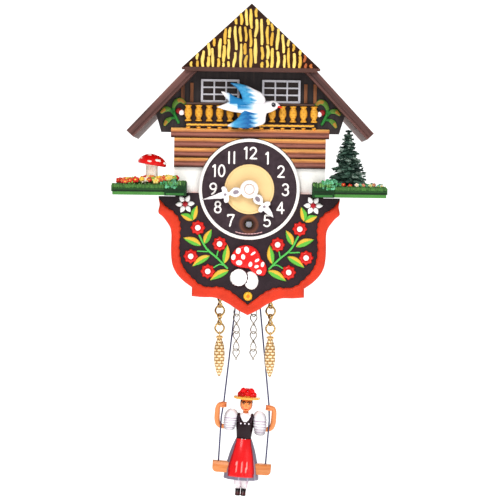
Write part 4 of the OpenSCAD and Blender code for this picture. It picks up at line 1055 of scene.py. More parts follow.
def fringe(g, s, count, xs, zs, depths, rad, greens):
    """Blades that hang over a front edge, from zs[0] down to between zs[1] and zs[2]."""
    for _ in range(count):
        x = s * rng.uniform(*xs)
        drop = [(x, zs[0], depths[0]), (x + rng.uniform(-0.2, 0.2), rng.uniform(*zs[1:]), depths[1])]
        tube(g, drop, rad, 6, rng.choice(greens))


def shelf(side, s):
    """A ledge board with its block at the shield, and the moulded grass on both."""
    g = Geo()
    dark = (30, 52, 30)
    boards = ((38.2, 73.2, -2.1, 1.4, 24.2, 59.4, (46, 84, 44)),
              (38.2, 72.9, 0.2, 1.5, 24.5, 59.7, (78, 122, 62)),
              (38.2, 72.4, -2.0, -1.0, 24.9, 59.5, dark), (38.2, 72.6, -3.8, -2.0, 24.8, 59.3, (84, 140, 70)),
              (33.4, 45, -4.0, 3.3, 48.1, 60.3, (28, 64, 34)), (34.4, 44.4, -1.6, -0.7, 60.1, 60.6, dark),
              (34.6, 44.2, -3.7, -2.5, 60.1, 60.7, (58, 116, 58)))
    for board in boards:
        side_box(g, s, *board)
    build(f"ledge_{side}", g, "satin", "case", f"shelf_{side}", bevel=0.35)
    g = Geo()
    greens = [(68, 106, 56), (84, 130, 66), (124, 164, 94), (48, 80, 46)]
    for i in range(520):
        x = s * rng.uniform(38.8, 72.6)
        d = rng.uniform(25, 59.4) if i % 2 else rng.uniform(57.5, 59.3)
        tuft(g, x, d, 1.4, rng.uniform(0.2, 1.0), rng.choice(greens), rng.uniform(-0.5, 0.5))
    fringe(g, s, 170, (45.5, 72.4), (1.3, 0.0, 0.8), (59.45, 59.6), [0.5, 0.3], greens[:2])
    for _ in range(90):
        x = s * rng.uniform(33.8, 44.6)
        d, h = rng.uniform(49, 60.2), rng.uniform(0.2, 0.9)
        tuft(g, x, d, 3.3, h, rng.choice(greens), rng.uniform(-0.4, 0.4))
    fringe(g, s, 60, (34, 44.6), (3.2, 1.2, 2.6), (60.15, 60.3), [0.45, 0.25], greens)
    build(f"grass_{side}", g, "satin", "case")


def toadstool():
    """A leaning red cap with spots, on a white stem."""
    g = Geo()
    cx, cd = -52.3, 48
    stem = [(3.75, 1.3), (3.9, 2.2), (3.4, 4.5), (3.2, 8), (3.15, 11), (3.3, 13.2), (0.001, 13.4)]
    # the stem's left and front half is greyed as painted shade
    lathe(g, [(r, z) for r, z in spline(stem, 3)], (cx, 0, cd), 28, "z",
          lambda x, z, d: (238, 226, 214) if (d - cd) * 0.4 + (x - cx) * -1 > 0 else (250, 244, 236),
          warp=lambda a, h, r: r * (1 + 0.035 * SIN(9 * a)))
    tilt = RAD(9)

    def lean(p):
        x, z, d = p
        return (cx + x * COS(tilt) + z * SIN(tilt), 12.1 - x * SIN(tilt) + z * COS(tilt), cd + d)

    cap = Geo()
    prof = [(2.8, 0.9), (5.2, 0.45), (6.9, 0.1), (7.5, 0.5), (7.55, 1.3), (6.9, 2.8), (5.4, 4.4), (3.2, 5.6),
            (1.2, 6.05), (0.001, 6.1)]
    lathe(cap, spline(prof, 4), (0, 0, 0), 48, "z",
          lambda x, z, d: (240, 222, 198) if math.hypot(x, d) < 6.6 and z < 0.5 else (214, 22, 20))
    for a, r, h, size in ((120, 2.8, 4.9, 1.35), (200, 3.7, 4.3, 1.15), (150, 5.9, 2.8, 0.9),
                          (62, 5.6, 2.9, 1.6), (22, 6.6, 2.0, 1.3), (290, 3.9, 4.3, 1.2),
                          (250, 6.1, 2.7, 1.1), (330, 5.5, 3.3, 1.1), (175, 6.9, 1.6, 0.9),
                          (100, 6.7, 1.9, 1.0), (45, 1.0, 5.6, 0.9), (225, 6.7, 1.8, 0.9)):
        p = (r * COS(RAD(a)), h, r * SIN(RAD(a)))
        ball(cap, p, 1.3 * size, (252, 246, 238), n=14, sz=0.45,
             warp=lambda x, y, z, k=a: 1 + 0.1 * SIN(5 * math.atan2(z, x) + k))
    g.add([lean(p) for p in cap.v], cap.f, cap.c)
    build("toadstool_moulding", g, "glossy", "case", "toadstool")


def bough(g, c, a, r, droop, wide, col):
    """One flat drooping bough with a ragged rim, from the trunk outward."""
    cx, z, cd = c
    n, m = 7, 3
    upper, lower = [], []
    for i in range(n + 1):
        u = i / n
        half = wide * SIN(math.pi * min(1, 0.12 + 0.8 * u)) * (1 if i % 2 else 0.72)
        zz = z - droop * u**1.4
        for k, w in ((-1, half), (1, half)):
            px, pd = r * u, k * w
            p = (cx + px * COS(a) - pd * SIN(a), cd + px * SIN(a) + pd * COS(a))
            upper.append((p[0], zz - 0.12 * abs(w), p[1]))
            lower.append((p[0], zz - 0.9 * (1 - 0.5 * u) - 0.45 * abs(w), p[1]))
        mid = (cx + r * u * COS(a), zz + 0.42 * (1 - 0.6 * u), cd + r * u * SIN(a))
        upper.insert(len(upper) - 1, mid)
    faces = []
    for i in range(n):
        q = i * m
        faces += [(q, q + 1, q + m + 1, q + m), (q + 1, q + 2, q + m + 2, q + m + 1)]
    lo = (n + 1) * m
    for i in range(n):
        q = lo + i * 2
        faces.append((q + 1, q, q + 2, q + 3))
        t = i * m
        faces += [(t, t + m, q + 2, q), (t + m + 2, t + 2, q + 1, q + 3)]
    faces += [(0, lo, lo + 1, 2, 1), (n * m + 1, n * m + 2, lo + 2 * n + 1, lo + 2 * n, n * m)]
    g.add(upper + lower, faces, col)


def pine():
    """Ragged boughs in tiers, round a dark core."""
    g = Geo()
    cx, cd, z0 = 52.7, 46.0, 1.5
    tube(g, [(cx, z0, cd), (cx, z0 + 14, cd), (cx + 0.2, z0 + 30.4, cd)], [1.9, 1.1, 0.3], 12, (44, 36, 30))
    greens = [(54, 74, 66), (64, 88, 76), (40, 58, 52), (80, 108, 94), (56, 80, 70), (142, 160, 148)]
    tiers = 14
    core = [(0.001, z0 + 1.6)]
    for t in range(tiers):
        f = t / (tiers - 1)
        zc = z0 + 3.4 + 26.6 * f
        reach = 9.3 * (1 - f) ** 0.78 + 1.0
        core += [(0.6 * reach, zc - 1.1), (0.36 * reach, zc + 0.7)]
        count = int(16 - 8 * f)
        for k in range(count):
            a = TAU * (k + 0.5 * (t % 2)) / count + rng.uniform(-0.2, 0.2)
            r = min(reach * rng.uniform(0.55, 1.16), 10.3)
            tone = rng.choice(greens)
            bough(g, (cx, zc + rng.uniform(-0.6, 0.7), cd), a, r, 0.25 + 0.2 * r, 0.5 + 0.24 * r, tone)
            for _ in range(4):
                b, u = a + rng.uniform(-0.4, 0.4), rng.uniform(0.35, 0.92) * r
                p = (cx + u * COS(b), zc + 0.4 - 0.2 * u, cd + u * SIN(b))
                q = (p[0] + 1.2 * COS(b + rng.uniform(-1, 1)), p[1] + rng.uniform(-0.6, 0.5),
                     p[2] + 1.2 * SIN(b))
                tube(g, [p, q], [0.55, 0.16], 5, rng.choice(greens))
    core.append((0.001, z0 + 31))
    # the near-black core stands in for the shade deep among the boughs
    lathe(g, core, (cx, 0, cd), 24, "z", (12, 40, 30), warp=lambda a, h,
          r: r * (1 + 0.12 * SIN(7 * a + 2 * h)))
    build("pine_moulding", g, "satin", "case", "pine_tree")


def blossom(g, x, z, d, r, col, heart, tilt=0.0):
    """Five round petals round a heart, facing the viewer and a little up."""
    for i in range(5):
        a = RAD(72 * i + tilt)
        ball(g, (x + 0.62 * r * COS(a), z + 0.62 * r * SIN(a) * 0.85, d - 0.3 * r * SIN(a)), 0.48 * r, col,
             n=8)
    ball(g, (x, z, d + 0.25 * r), 0.36 * r, heart, n=8)


def garden(side, s):
    """Moulded flowers and mint green shrubs crowded on a ledge."""
    g = Geo()
    mint, leafy = (112, 182, 142), (72, 146, 88)
    if s < 0:
        petals = [(214, 62, 46), (226, 104, 74), (236, 142, 92), (244, 206, 92), (246, 222, 136),
                  (250, 236, 214), (204, 52, 50), (150, 196, 96)]
        lumps = ((64.6, 45, 2.7), (69.4, 50, 1.8), (59.6, 52, 1.9), (44.8, 52, 2.6), (48.4, 53, 2.7),
                 (42.4, 56, 1.9), (40.2, 57.4, 1.4))
        spots = [(rng.uniform(38.6, 69.5), rng.uniform(43, 57.3)) for _ in range(84)]
        spots = [(x, d, rng.uniform(1.3, 2.6) + (2.0 if x < 58 else 0.6) * (1 - abs(d - 50) / 12))
                 for x, d in spots]
        size = (1.3, 2.1)
    else:
        petals = [(214, 60, 56), (250, 236, 220), (230, 150, 140), (226, 232, 180), (130, 210, 170)]
        lumps = ((66, 46, 2.2), (70.2, 50, 1.5), (44.2, 53, 2.9), (41.6, 55, 2.7), (46.8, 50, 2.7),
                 (48.2, 55, 2.0), (62.8, 52, 1.7), (58.6, 55, 1.6))
        spots = [(49.9, 56.4, 1.6), (57, 56.6, 1.5), (60.4, 55.6, 1.3), (64.2, 56.8, 1.2), (68.4, 56.4, 0.9),
                 (53.4, 57, 1.0), (70.4, 54, 1.0), (66.2, 52, 1.6), (61.4, 50, 1.6), (43, 57.6, 1.0)]
        size = (1.0, 1.4)
    for x, d, r in lumps:
        for _ in range(20):
            a, b, q = rng.uniform(0, 6.28), rng.uniform(0.1, 1.4), r * rng.uniform(0.55, 0.9)
            foot = 3.2 if x < 47 else 1.8
            p = (s * x + q * COS(a) * SIN(b), foot + q * COS(b), d + q * SIN(a) * SIN(b))
            ball(g, p, rng.uniform(0.6, 1.0), rng.choice([mint, shade(mint, 0.86), leafy]), n=8,
                 warp=lambda x_, y_, z_, k=a: 1 + 0.16 * SIN(7 * math.atan2(z_, x_) + k))
    for _ in range(44):
        x, z = rng.uniform(37.5, 47), rng.uniform(0.3, 4.6 if s > 0 else 3.8)
        ball(g, (s * x, z, 60.2 if x < 45 else 59.2), rng.uniform(0.5, 0.85),
             rng.choice([mint, leafy, shade(mint, 0.8)]), n=8, sd=0.7)
    for i, (x, d, h) in enumerate(spots):
        base = 3.3 if x < 45 else 1.4
        h = base + h * (0.6 if x < 45 else 1.0)
        tube(g, [(s * x, base - 0.3, d), (s * x, h, d)], 0.22, 5, (60, 130, 60))
        col = petals[i % len(petals)] if s > 0 else rng.choice(petals)
        blossom(g, s * x, h, d, rng.uniform(*size), col, (250, 214, 90), rng.uniform(0, 72))
    build(f"garden_{side}", g, "satin", "case", f"flowers_{side}")


# ---- bird ----


def bird():
    """Body, two wings and a tail of painted plastic, on a round boss."""
    g = Geo()
    z0 = 44.5  # height of the axis it rocks on
    blue, deep, sky, white = (40, 128, 180), (20, 92, 150), (76, 160, 202), (244, 240, 242)

    def blend(a, b, t):
        t = max(0.0, min(1.0, t))
        return tuple(round((a[i] + (b[i] - a[i]) * t) / 4) * 4 for i in range(3))

    def streak(x, z):
        return 1.1 * SIN(2.6 * z + 1.4 * SIN(0.7 * x)) + 0.6 * SIN(5.3 * z + 0.5 * x)

    def upper_c(x, z, d):
        across = x + 0.45 * (z - z0) + streak(x, z)
        if across > 1.2:
            return white if across > 4.6 else blend(blue, white, (across - 1.2) / 3.4)
        return blend(deep, sky, (across + 9) / 9)

    def lower_c(x, z, d):
        if x < -8.5:
            return blend(white, sky, (x + 11.5) / 3)
        across = x + streak(x, z)
        if across > 0.4:
            return blend(blue, white, (across - 0.4) / 3.8)
        return blend(sky, deep, (across + 8.5) / 8)

    def body_c(x, z, d):
        h = z - z0
        if x < -11 or (x < -7 and h < 0.8):
            return blend(white, (170, 206, 232), (x + 13.5) / 3 - max(0, 0.8 - h))
        if x < 3.5 and h > -3.4:
            return blend(blue, white, max((x + 2.5) / 5, (-h - 1.2) / 1.8))
        return white

    upper = spline([(7.6, 1.5), (7.4, 4.6), (5.4, 6.9), (2, 8.6), (-2.4, 10.6), (-7, 11.7), (-10.9, 11.8),
                    (-7.6, 9.2), (-5.6, 6.6), (-4.6, 4), (-4.6, 1.2), (-2, -0.6), (3, -1)], 4, True)
    lower = spline([(8.4, -2), (8.2, -6), (7.6, -9.2), (4, -11), (-1, -12.1), (-6, -12), (-12.2, -11),
                    (-8.8, -8.6), (-6, -6), (-4.4, -3.4), (-2, -0.6), (3, 0.2)], 4, True)
    tail = [(1, 2.6), (-4, 3), (-8, 4.4), (-11.4, 6.4), (-15.6, 7.3), (-14.2, 5), (-12.4, 3), (-11.4, 1.8),
            (-14, 0.6), (-18.1, -1.1), (-14, -2.5), (-9, -3.6), (-4, -4.2), (1, -4)]
    tail = tail[:4] + spline(tail[3:7], 3)[1:] + tail[7:]

    def bend_up(x, z, d):
        return (x, z, d - 0.012 * (z - z0 - 2) ** 2 if z > z0 + 2 else d)

    def bend_low(x, z, d):
        return (x, z, d - 0.012 * (z - z0 + 2) ** 2 if z < z0 - 2 else d)

    for pts, col, warp, h, mid in ((upper, upper_c, bend_up, 1.6, 55.0),
                                   (lower, lower_c, bend_low, 1.6, 55.0), (tail, body_c, None, 1.5, 54.9)):
        puff(g, [[(x, z + z0) for x, z in pts]], mid, h, 2.2, 0.55, col, back=0.8, warp=warp)
    spine = [(-8, -0.6, 0.7), (-5, -0.9, 1.7), (0, -1.3, 2.7), (5, -1.5, 3.1), (9, -1, 2.9), (11.8, 0, 2.75),
             (13.9, 0.1, 1.9), (14.8, 0, 0.9)]
    rings = spline(spine, 4)
    path = [(x, z + z0, 55.4) for x, z, _ in rings]
    tube(g, path, [max(0.3, r) for *_, r in rings], 24, lambda x, z, d: body_c(x, z, d) if x < 7 else white,
         flat=0.86)
    tube(g, [(14.2, z0 - 0.25, 55.5), (15.6, z0 - 0.6, 55.6), (16.8, z0 - 1.1, 55.6)], [0.85, 0.6, 0.2], 12,
         (222, 46, 34))
    for d, r, col in ((57.35, 1.35, (120, 116, 126)), (57.8, 0.9, (22, 22, 28))):
        ball(g, (12.1, z0 + 0.3, d), r, col, n=16, sd=0.55)
    # a white painted highlight on the eye
    ball(g, (11.9, z0 + 0.55, 58.12), 0.22, (252, 252, 252), n=10)
    lathe(g, [(0.001, 53.45), (2.1, 53.45), (2.1, 54.6), (0.001, 54.6)], (0, z0, 0), 24, "d", (230, 230, 232))
    build("bird_moulding", g, "glossy", "bird_rocker", "bird")


# ---- swing and doll, drawn upright and then leaned and scaled as the swing is ----

SWING_D, SWING_K, LEAN = 16.0, 1.027, 3.5


def swung(x, z, q):
    """A point of the swing, q in front of its plane, in the place it hangs."""
    return at(SWING_K * x, SWING_K * z, SWING_D + SWING_K * q)


def leant(x, z, q):
    c, s, zz = COS(RAD(LEAN)), SIN(RAD(LEAN)), z + 115
    return (x * c + zz * s, -115 - x * s + zz * c, q)


def doll_at(x, z, q):
    return swung(*leant(x, z, q))


# the second skin colour is painted shade, for the neck under the chin and every other finger
SKIN, SKIN_SHADED = (230, 146, 92), (204, 116, 70)
LEGS_X = 0.35


def loft(levels):
    """Outlines of equal length, shrunk toward their middle by k at depth q, skinned and capped."""
    n = len(levels[0][0])
    verts = []
    for out, q, k in levels:
        mx, mz = ((min(v) + max(v)) / 2 for v in zip(*out))
        verts += [(mx + (x - mx) * k, mz + (z - mz) * k, q) for x, z in out]
    return verts, skin(len(levels), n)


def swing():
    """Two cords with the ring at their top, and the seat."""
    g = Geo()
    for s in (-1, 1):
        a, b, c = leant(s * 12.1, -114.6, 0), leant(s * 12.9, -123, 0), leant(s * 12.6, -151.4, 0)
        top = (s * 0.2, -1.3, 0)
        pts = [top] + [tuple((1 - t) * p + t * q for p, q in zip(top, a)) for t in (0.3, 0.6, 0.9)]
        pts += [a, b, tuple((b[i] + c[i]) / 2 for i in range(3)), c]
        tube(g, pts, 0.4, 10)
        ball(g, c, 0.8, n=12, warp=lambda x, y, z: 1 + 0.12 * SIN(4 * math.atan2(z, x) + 5 * y))
    loop = [(0, 1.1 * COS(a), 1.1 * SIN(a)) for a in np.linspace(0, TAU, 25)]
    tube(g, loop, 0.4, 10, caps=False)
    ball(g, (0, -1.5, 0), 0.76, n=12)
    build("swing_cord_strands", g, "cord", "swing", "swing_cords", place=swung)
    g = Geo()
    w, top, low, r = 15.7, -146.5, -152.3, 2.3
    right = arc_pts(w - r, low + r, r, 280, 350, 6) + [(w, low + r), (w, top)]
    out = [(-w, top), (-w, low + r)] + arc_pts(-w + r, low + r, r, 190, 260, 6) + right
    faces = ((-3.15, 0.965), (-2.9, 0.99), (-2.4, 1), (2.4, 1), (2.9, 0.99), (3.15, 0.965))
    g.add(*loft([(out, q, k) for q, k in faces]))
    build("swing_seat_board", g, "seat", "swing", "swing_seat", place=doll_at)


def doll_dress():
    """Skirt with folds, apron, bodice and blouse yoke, as one moulded and painted shell."""
    grey, red, vest, white = (124, 116, 132), (226, 30, 34), (36, 8, 20), (248, 243, 248)
    rows = [(-119.6, 1.5, 1.4), (-120.2, 2.2, 1.7), (-121.2, 4.2, 2.2), (-123, 4.7, 2.7), (-126, 4.7, 3.0),
            (-129, 4.4, 2.9), (-132, 4.05, 2.6), (-133.4, 4.0, 2.6), (-134.4, 4.5, 3.1), (-138, 5.9, 4.5),
            (-142, 7.1, 5.7), (-147, 8.2, 6.7), (-151.5, 8.95, 7.2), (-154.4, 9.3, 7.4), (-155.3, 9.2, 7.3),
            (-155.5, 8.8, 6.9)]
    dense = spline(rows, 5)
    n = 96
    verts, cols = [], []
    for z, rx, rq in dense:
        skirt = max(0.0, min(1.0, (-134.6 - z) / 14))
        for k in range(n):
            a = TAU * k / n
            front = SIN(a) > 0
            fold = (0.5 * SIN(11 * a + 0.6) + 0.22 * SIN(23 * a)) * skirt**1.5
            low = max(0.0, min(1.0, (-143 - z) / 8))
            x = (rx + 0.3 * fold) * COS(a)
            pleat = COS(x * 2.35 + 0.4)
            apron = front and z < -133.6 and abs(x + 0.2 * skirt) < 3.9 + 3.1 * skirt and z > -153.5
            if apron:
                fold = 0.95 * low * pleat**3 * (1 - 0.6 * abs(x) / 7.5)
            q = (rq + 0.42 * fold + (0.35 if apron else 0)) * SIN(a)
            verts.append((x, z, q))
            c = grey
            if z > -133.6:
                c = vest
                yoke = front and abs(x) < 3.1 and z > -124.6 + 0.42 * x * x
                if yoke or (z > -120.9 and abs(x) < 3.1):
                    c = white
            elif apron:
                c = red if abs(x + 0.2 * skirt) < 3.4 + 2.7 * skirt else (166, 16, 30)
                # pale pink streaks on the apron's fold crests are a painted highlight
                if -151 < z < -145.2 and abs(x) < 4.6 and pleat > 0.72:
                    c = (252, 164, 160)
            # lighter grey on the skirt's fold crests is a painted highlight
            elif k % 2 == 0 and fold > 0.35:
                c = (162, 158, 176)
            cols.append(c)
    g = Geo()
    g.add(verts, skin(len(dense), n), cols)
    for x in (-2.2, 0, 2.1):
        ball(g, (x, -125.4, 2.85), 0.5, (240, 232, 240), n=10, sd=0.6)
    for x in (-0.9, 0.8):
        ball(g, (x, -133.9, 2.9), 0.42, (250, 240, 240), n=10, sd=0.6)
    for s in (-1, 1):
        strap = spline([(s * 3.0, -124.2, 2.5), (s * 3.7, -121.8, 2.2), (s * 3.5, -120.4, 1.0)], 4)
        tube(g, strap, 0.72, 8, (52, 30, 42), flat=0.6)
    build("doll_dress", g, "glossy", "swing", "doll_body", place=doll_at)


def doll_head():
    """Head, face, hair and the hat with its red pompoms."""
    g = Geo()
    hair = (54, 24, 20)

    def face_c(x, z, q):
        if q < 0.9 and abs(x) > 2.8 or q < -0.2:
            return hair
        if math.hypot(abs(x) - 1.8, z + 116.9) < 0.75:
            return (236, 128, 86)
        # painted shade: darker skin on the forehead under the brim, at the sides and under the chin
        if z > -114.2 or abs(x) > 2.5 or z < -118.9:
            return (206, 124, 74)
        return (238, 156, 96)

    def jaw(x, y, z):
        return 1 - 0.2 * max(0.0, -y) ** 1.6 * (1 if z > -0.4 else 0.3)

    ball(g, (0, -115.6, 0.3), 4.2, face_c, n=40, sx=0.8, sz=1.02, sd=0.86, warp=jaw)
    ball(g, (0, -115.0, -0.8), 4.1, hair, n=28, sx=0.79, sz=0.92, sd=0.82)
    ball(g, (0, -116.1, 3.75), 0.62, SKIN, n=12, sz=1.3, sd=0.8)
    for s in (-1, 1):
        ball(g, (s * 1.3, -114.9, 3.3), 0.6, (226, 200, 180), n=12, sz=0.55, sd=0.45)
        ball(g, (s * 1.25, -114.85, 3.5), 0.42, (46, 30, 26), n=12, sz=0.9, sd=0.4)
        brow = spline([(s * 0.5, -113.95, 3.45), (s * 1.3, -113.6, 3.35), (s * 2.15, -113.9, 3.0)], 3)
        tube(g, brow, 0.3, 6, hair)
        tube(g, [(s * 0.7, -114.3, 3.42), (s * 1.9, -114.35, 3.15)], 0.2, 6, (110, 60, 44))
        lock = spline([(s * 2.7, -112.8, 1.3), (s * 3.0, -114.0, 1.1), (s * 3.0, -115.0, 0.9)], 4)
        tube(g, lock, [0.45 - 0.03 * i for i in range(len(lock))], 8, hair)
    tube(g, spline([(-0.8, -117.75, 3.1), (0, -117.95, 3.25), (0.8, -117.75, 3.1)], 3), 0.24, 8,
         (204, 40, 40), flat=0.8)
    lathe(g, [(1.7, -120.3), (1.5, -119.2), (1.4, -118)], (0, 0, 0), 20, "z", SKIN_SHADED)
    brim = [(3.4, -112.3), (5.4, -112.5), (6.8, -112.25), (7.1, -111.7), (6.9, -111.1), (5.4, -110.9),
            (4.3, -110.7), (3.9, -109.8), (3.2, -109), (0.001, -108.8)]
    lathe(g, spline(brim, 3), (0, 0, 0), 56, "z", lambda x, z, q: (246, 176, 84) if z < -111
          else (226, 150, 70), warp=lambda a, h, r: r * (1 + 0.012 * SIN(5 * a + 1)))
    red = (246, 26, 30)
    # the tone darkens all but the two top pompoms as painted shade, the left ones most
    for x, z, q, r, tone in ((-1.95, -108.1, 1.0, 1.8, 1), (2.1, -108.15, 1.0, 1.8, 1),
                             (0.2, -109.9, 2.6, 1.8, 0.94), (-3.5, -109.9, 1.2, 1.65, 0.84),
                             (3.6, -109.9, 1.2, 1.6, 0.92), (-2.1, -110.3, 3.1, 1.35, 0.84),
                             (2.4, -110.3, 3.0, 1.35, 0.92), (0, -109, -1.9, 2.3, 0.9),
                             (-2.4, -109.2, -2, 1.8, 0.86), (2.4, -109.2, -2, 1.8, 0.9)):
        ball(g, (x, z, q), r, shade(red, tone), n=22,
             warp=lambda px, py, pz, k=x: 1 + 0.045 * SIN(9 * math.atan2(pz, px) + k) * COS(7 * py))
    build("doll_head_and_hat", g, "glossy", "swing", "doll_head", place=doll_at)


def doll_arms():
    """Sleeves, and arms whose hands hold the cords."""
    g = Geo()
    white = (250, 246, 252)
    for s in (-1, 1):
        sleeve = [(-118.0, 0.9), (-118.7, 2.2), (-120, 3.2), (-121.6, 3.6), (-122.4, 3.62), (-122.9, 3.4),
                  (-123.5, 3.74), (-124.1, 3.42), (-124.8, 3.72), (-125.4, 3.36), (-126.1, 3.62),
                  (-126.7, 3.22), (-127.4, 3.4), (-128.0, 2.95), (-128.7, 2.95), (-129.4, 2.2), (-129.7, 1.2)]
        dense = spline(sleeve, 3)
        n = 30
        verts, cols = [], []
        for z, r in dense:
            crease_shade = z < -122.5 and any(abs(z + c) < 0.17 for c in (122.9, 124.1, 125.4, 126.7, 128.0))
            if s > 0:
                z = 1.13 * (z + 118) - 118.2
            cx = s * (7.35 + 0.09 * (-119 - z))
            for a in angles(n):
                ripple = 1 + 0.03 * SIN(8 * a + 0.6 * z)
                verts.append((cx + r * ripple * COS(a), z, 0.5 + 0.92 * r * ripple * SIN(a)))
                # painted shade: the sleeve greys toward its sides and its foot, and the creases take a darker
                # mauve
                edge = min(1.0, 1.25 * abs(COS(a)) ** 3 + max(0.0, (-126.5 - z) / 5))
                cols.append(shade(white, 1 - 0.3 * edge) if not crease_shade else (158, 124, 152))
        g.add(verts, skin(len(dense), n), cols)
        arm = spline([(s * 9.4, -127.9, 1.0), (s * 12, -128.0, -1.3), (s * 14.2, -127.0, -1.7),
                      (s * 15.1, -124.4, -1.8), (s * 15.2, -121, -1.7), (s * 15.1, -118.2, -1.4),
                      (s * 14.4, -116.5, -0.9), (s * 13, -115.9, -0.3)], 4)
        rad = [1.15 + 0.3 * SIN(math.pi * min(1, i / len(arm) * 1.2)) for i in range(len(arm))]
        tube(g, arm, rad, 14, SKIN)
        ball(g, (s * 12.4, -116.2, 0.1), 1.75, SKIN, n=18, sz=0.95)
        for j in range(4):
            z = -115.1 - 0.72 * j
            finger = [(s * 13.3, z - 0.1, 0.9), (s * 12.3, z, 1.55), (s * 11.2, z + 0.05, 1.2),
                      (s * 10.8, z, 0.3)]
            tube(g, spline(finger, 3), 0.42, 8, SKIN if j % 2 else SKIN_SHADED)
    build("doll_sleeves_and_arms", g, "glossy", "swing", "doll_arms", place=doll_at)


def doll_legs():
    """Stockings and shoes."""
    g = Geo()
    for s in (-1, 1):
        leg = [(2.4, -155), (2.35, -156.4), (2.15, -157.6), (1.75, -159.2), (1.5, -160.4), (1.5, -161.4)]
        # the stockings' outer sides and the line between them are greyed as painted shade
        lathe(g, spline(leg, 3), (LEGS_X + s * 1.65, 0, 0.2), 24, "z",
              lambda x, z, q, s=s: (214, 188, 200) if s * x > 3.0 or abs(x) < 0.3 else (248, 238, 240),
              warp=lambda a, h, r: r * (1 + 0.02 * SIN(7 * a + 2 * h)))
        sole, top = [], []
        shoe_x, n = LEGS_X + s * 1.5, 20
        for a in angles(n):
            w = 1.48 * (abs(COS(a)) ** 0.75) * math.copysign(1, COS(a))
            ln = 3.1 * (abs(SIN(a)) ** 0.8) * math.copysign(1, SIN(a)) + 0.9
            sole.append((shoe_x + w, ln))
            top.append((shoe_x + 0.97 * w, 0.66 * ln))
        levels = [(-164.04, 0.97, sole), (-163.6, 1.0, sole), (-163.4, 0.93, sole), (-162.6, 0.93, sole),
                  (-161.6, 0.97, top), (-160.5, 0.97, top)]
        verts = [(shoe_x + (x - shoe_x) * k, z, q * k) for z, k, ring in levels for x, q in ring]
        # a brown painted highlight across the front of each toe
        g.add(verts, skin(len(levels), n),
              lambda x, z, q: (84, 40, 42) if q > 2.2 and -163.5 < z < -162.4 else (34, 24, 26))
    build("doll_legs_and_shoes", g, "glossy", "swing", "doll_legs", place=doll_at)


# ---- chains and cone weights ----

SIDES = ("left", -1), ("right", 1)
CHAIN_D, CHAIN_MID, OUTER_X, INNER_X, LINK_P, LINK_TOP = 38.0, -1.3, 13.7, 4.6, 4.7, -56.35


def link(g, x, z, turn_a, half_w, half_h, wire, twist):
    """One hand-bent link: a squarish loop with its sides twisted a little."""
    path = []
    for a in angles(28):
        c, s = COS(a), SIN(a)
        px = half_w * math.copysign(abs(c) ** 1.35, c)
        pz = half_h * math.copysign(abs(s) ** 1.15, s)
        off = twist * SIN(2 * a)
        ca, sa = COS(RAD(turn_a)), SIN(RAD(turn_a))
        path.append((x + px * ca - off * sa, z + pz, CHAIN_D + px * sa + off * ca))
    path += path[:2]
    tube(g, path, wire, 8, caps=False)


def chains():
    """Four chains of links, each link turned a quarter from the last."""
    for metal, row, off, count, a0, wire, wide in (("gold", "outer", OUTER_X, 5, 0, 0.5, 2.45),
                                                   ("silver", "inner", INNER_X, 8, 45, 0.3, 2.0)):
        for side, s in SIDES:
            g = Geo()
            for i in range(count):
                odd = i % 2
                x, z = CHAIN_MID + s * off, LINK_TOP - i * LINK_P
                link(g, x, z, a0 + 90 * odd, wide, 2.95, wire, 0.5 + 0.5 * odd)
            body = f"chain_{row[0]}{side[0]}"
            build(f"{metal}_chain_{side}", g, metal, body, f"chain_{row}_{side}")


def cone(side, s):
    """A cone weight with rows of scales, its collar and its eye."""
    g = Geo()
    cx = CHAIN_MID + s * OUTER_X
    top, low = -79.9, -101.5
    rows, per = 60, 60
    verts, cols = [], []
    gold, cream, brown = (224, 188, 130), (248, 232, 198), (158, 112, 66)
    for i in range(rows + 1):
        t = i / rows
        z = top + (low - top) * t
        body_r = float(np.interp(t, (0, 0.03, 0.1, 0.16, 0.3, 0.45, 0.62, 0.78, 0.9, 0.97, 1),
                                 (0.9, 1.5, 1.65, 2.4, 2.95, 3.15, 2.95, 2.3, 1.45, 0.75, 0.2)))
        row = t * 13.5
        inside = row % 1.0
        for k in range(per):
            a = TAU * k / per
            cell = (a / TAU * 6 + 0.5 * (int(row) % 2)) % 1.0
            scale = SIN(math.pi * cell) ** 0.6 * (1 - inside) ** 0.7 * min(1, inside * 5)
            r = body_r * (0.91 + 0.09 * scale)
            verts.append((cx + r * COS(a), z, CHAIN_D + r * SIN(a)))
            # brown in the hollows between scales is painted shade, and cream on their raised middles a
            # painted highlight
            cols.append(brown if scale < 0.26 else (gold if scale < 0.5 else cream))
    g.add(verts, skin(rows + 1, per), cols)
    for z, r, w in ((-80.1, 1.75, 0.42), (-79.5, 1.2, 0.35)):
        tube(g, [(cx + r * COS(a), z, CHAIN_D + r * SIN(a)) for a in np.linspace(0, TAU, 25)], w, 8, gold,
             caps=False)
    eye = [(cx, -78.3 + 1.2 * COS(a), CHAIN_D + 1.2 * SIN(a)) for a in np.linspace(0, TAU, 25)]
    tube(g, eye, 0.4, 8, gold, caps=False)
    build(f"cone_casting_{side}", g, "cone", f"chain_o{side[0]}", f"cone_weight_{side}")


kept_cad()
reeds()
windows()
railing()
logs()
gable_leaves()
shield()
relief()
numbers()
hands()
for side_name, sign in SIDES:
    shelf(side_name, sign)
    garden(side_name, sign)
toadstool()
pine()
bird()
swing()
doll_dress()
doll_head()
doll_arms()
doll_legs()
chains()
for side_name, sign in SIDES:
    cone(side_name, sign)


# ---- stage, light and camera ----


FLOOR_DROP = 0.24


